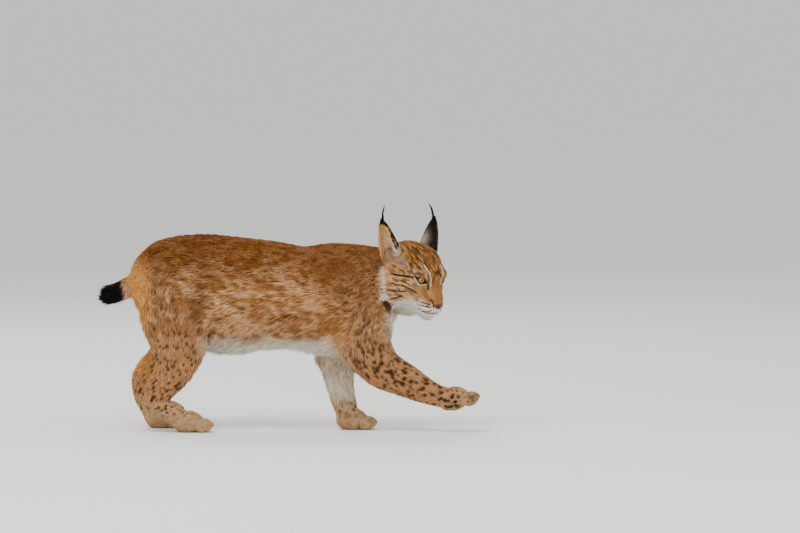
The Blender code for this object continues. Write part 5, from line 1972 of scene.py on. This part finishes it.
@dataclass
class Studio:
    """The pale floor, the soft lights and the camera of the photo."""

    photo_width: int = 800
    photo_height: int = 533
    scale: float = 420.0
    floor_row: float = 430.0
    middle_column: float = 288.5
    pitch: float = math.radians(3)
    distance: float = 15.0

    def floor(self) -> Piece:
        """A large flat square at height 0."""
        half = 400.0
        corners = np.array([(-half, -half, 0), (half, -half, 0), (half, half, 0), (-half, half, 0)])
        piece = new_piece("floor", corners, np.array([(0, 1, 2, 3)]), material=FloorFinish().make())
        return piece

    def camera(self) -> None:
        """Place the camera so that the floor line, the scale and the framing are those of the photo."""
        x = (self.photo_width / 2 - self.middle_column) / self.scale
        z = (self.floor_row - self.photo_height / 2) / self.scale / math.cos(self.pitch)
        data = bpy.data.cameras.new("camera")
        data.sensor_width = 36.0
        data.lens = 36.0 * self.distance / (self.photo_width / self.scale)
        data.clip_end = 2000.0
        camera = bpy.data.objects.new("camera", data)
        camera.location = (x, -self.distance * math.cos(self.pitch), z + self.distance * math.sin(self.pitch))
        camera.rotation_euler = (math.pi / 2 - self.pitch, 0, 0)
        bpy.context.scene.collection.objects.link(camera)
        bpy.context.scene.camera = camera

    def light(self, name: str, place: Triple, size: float, power: float, warmth: Colour) -> None:
        """A square soft light at a place, aimed at the animal's middle."""
        data = bpy.data.lights.new(name, "AREA")
        data.size = size
        data.energy = power
        data.color = warmth
        lamp = bpy.data.objects.new(name, data)
        lamp.location = place
        way = np.array(place) - np.array((0.0, 0.0, 0.25))
        lamp.rotation_euler = (
            math.atan2(math.hypot(way[0], way[1]), way[2]), 0, math.atan2(way[1], way[0]) + math.pi / 2
        )
        bpy.context.scene.collection.objects.link(lamp)

    def lights(self) -> None:
        """A pale sky all round, a broad key from above on the camera's side and a weaker fill."""
        world = bpy.data.worlds.new("studio")
        world.use_nodes = True
        sky = world.node_tree.nodes["Background"]
        sky.inputs["Color"].default_value = (1.0, 0.985, 0.96, 1)
        sky.inputs["Strength"].default_value = 1.0
        bpy.context.scene.world = world
        self.light("key", (-1.2, -3.0, 4.2), 2.6, 210.0, (1.0, 0.97, 0.93))
        self.light("fill", (3.6, -3.0, 2.0), 3.0, 60.0, (0.95, 0.97, 1.0))
        self.light("rim", (-1.0, 3.4, 3.6), 2.6, 90.0, (1.0, 1.0, 1.0))


FLESH_NODES = (
    "head", "neck", "torso", "tail", "upper_arm_right", "upper_arm_left", "forearm_right", "forearm_left",
    "forepaw_right", "forepaw_left", "thigh_right", "thigh_left", "shank_right", "shank_left",
    "hind_foot_right", "hind_foot_left",
)


def place_piece(piece: Piece, replaced: tuple[str, ...] = ()) -> None:
    """Let a piece ride on the body and hide the nodes it stands for."""
    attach(piece, "root")
    if replaced:
        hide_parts(*replaced)
    LOG.info("%s: %d faces", piece.name, len(piece.data.polygons))


def main() -> None:
    """Build the animal and its studio."""
    logging.basicConfig(level=logging.INFO, format="%(asctime)s %(message)s")
    skin = Skin()
    piece = skin.build()
    place_piece(piece, FLESH_NODES)
    fur = FurFinish().make()
    for tufts in Coat(skin).grow(fur):
        place_piece(tufts)
    ear_skin = piece.data.materials[0]
    eye = EyeFinish().make()
    for side in Side:
        ear = Ear(side)
        place_piece(ear.build(ear_skin), (f"ear_{side.word}",))
        place_piece(ear.coat(fur))
        place_piece(Eye(side).build(eye), (f"eye_{side.word}",))
    place_piece(Whiskers().build(HornFinish("whisker", (0.85, 0.82, 0.78)).make()))
    place_piece(Claws().build(HornFinish("claw", (0.16, 0.11, 0.08)).make()))
    studio = Studio()
    studio.floor()
    studio.camera()
    studio.lights()


if __name__ == "__main__":
    main()
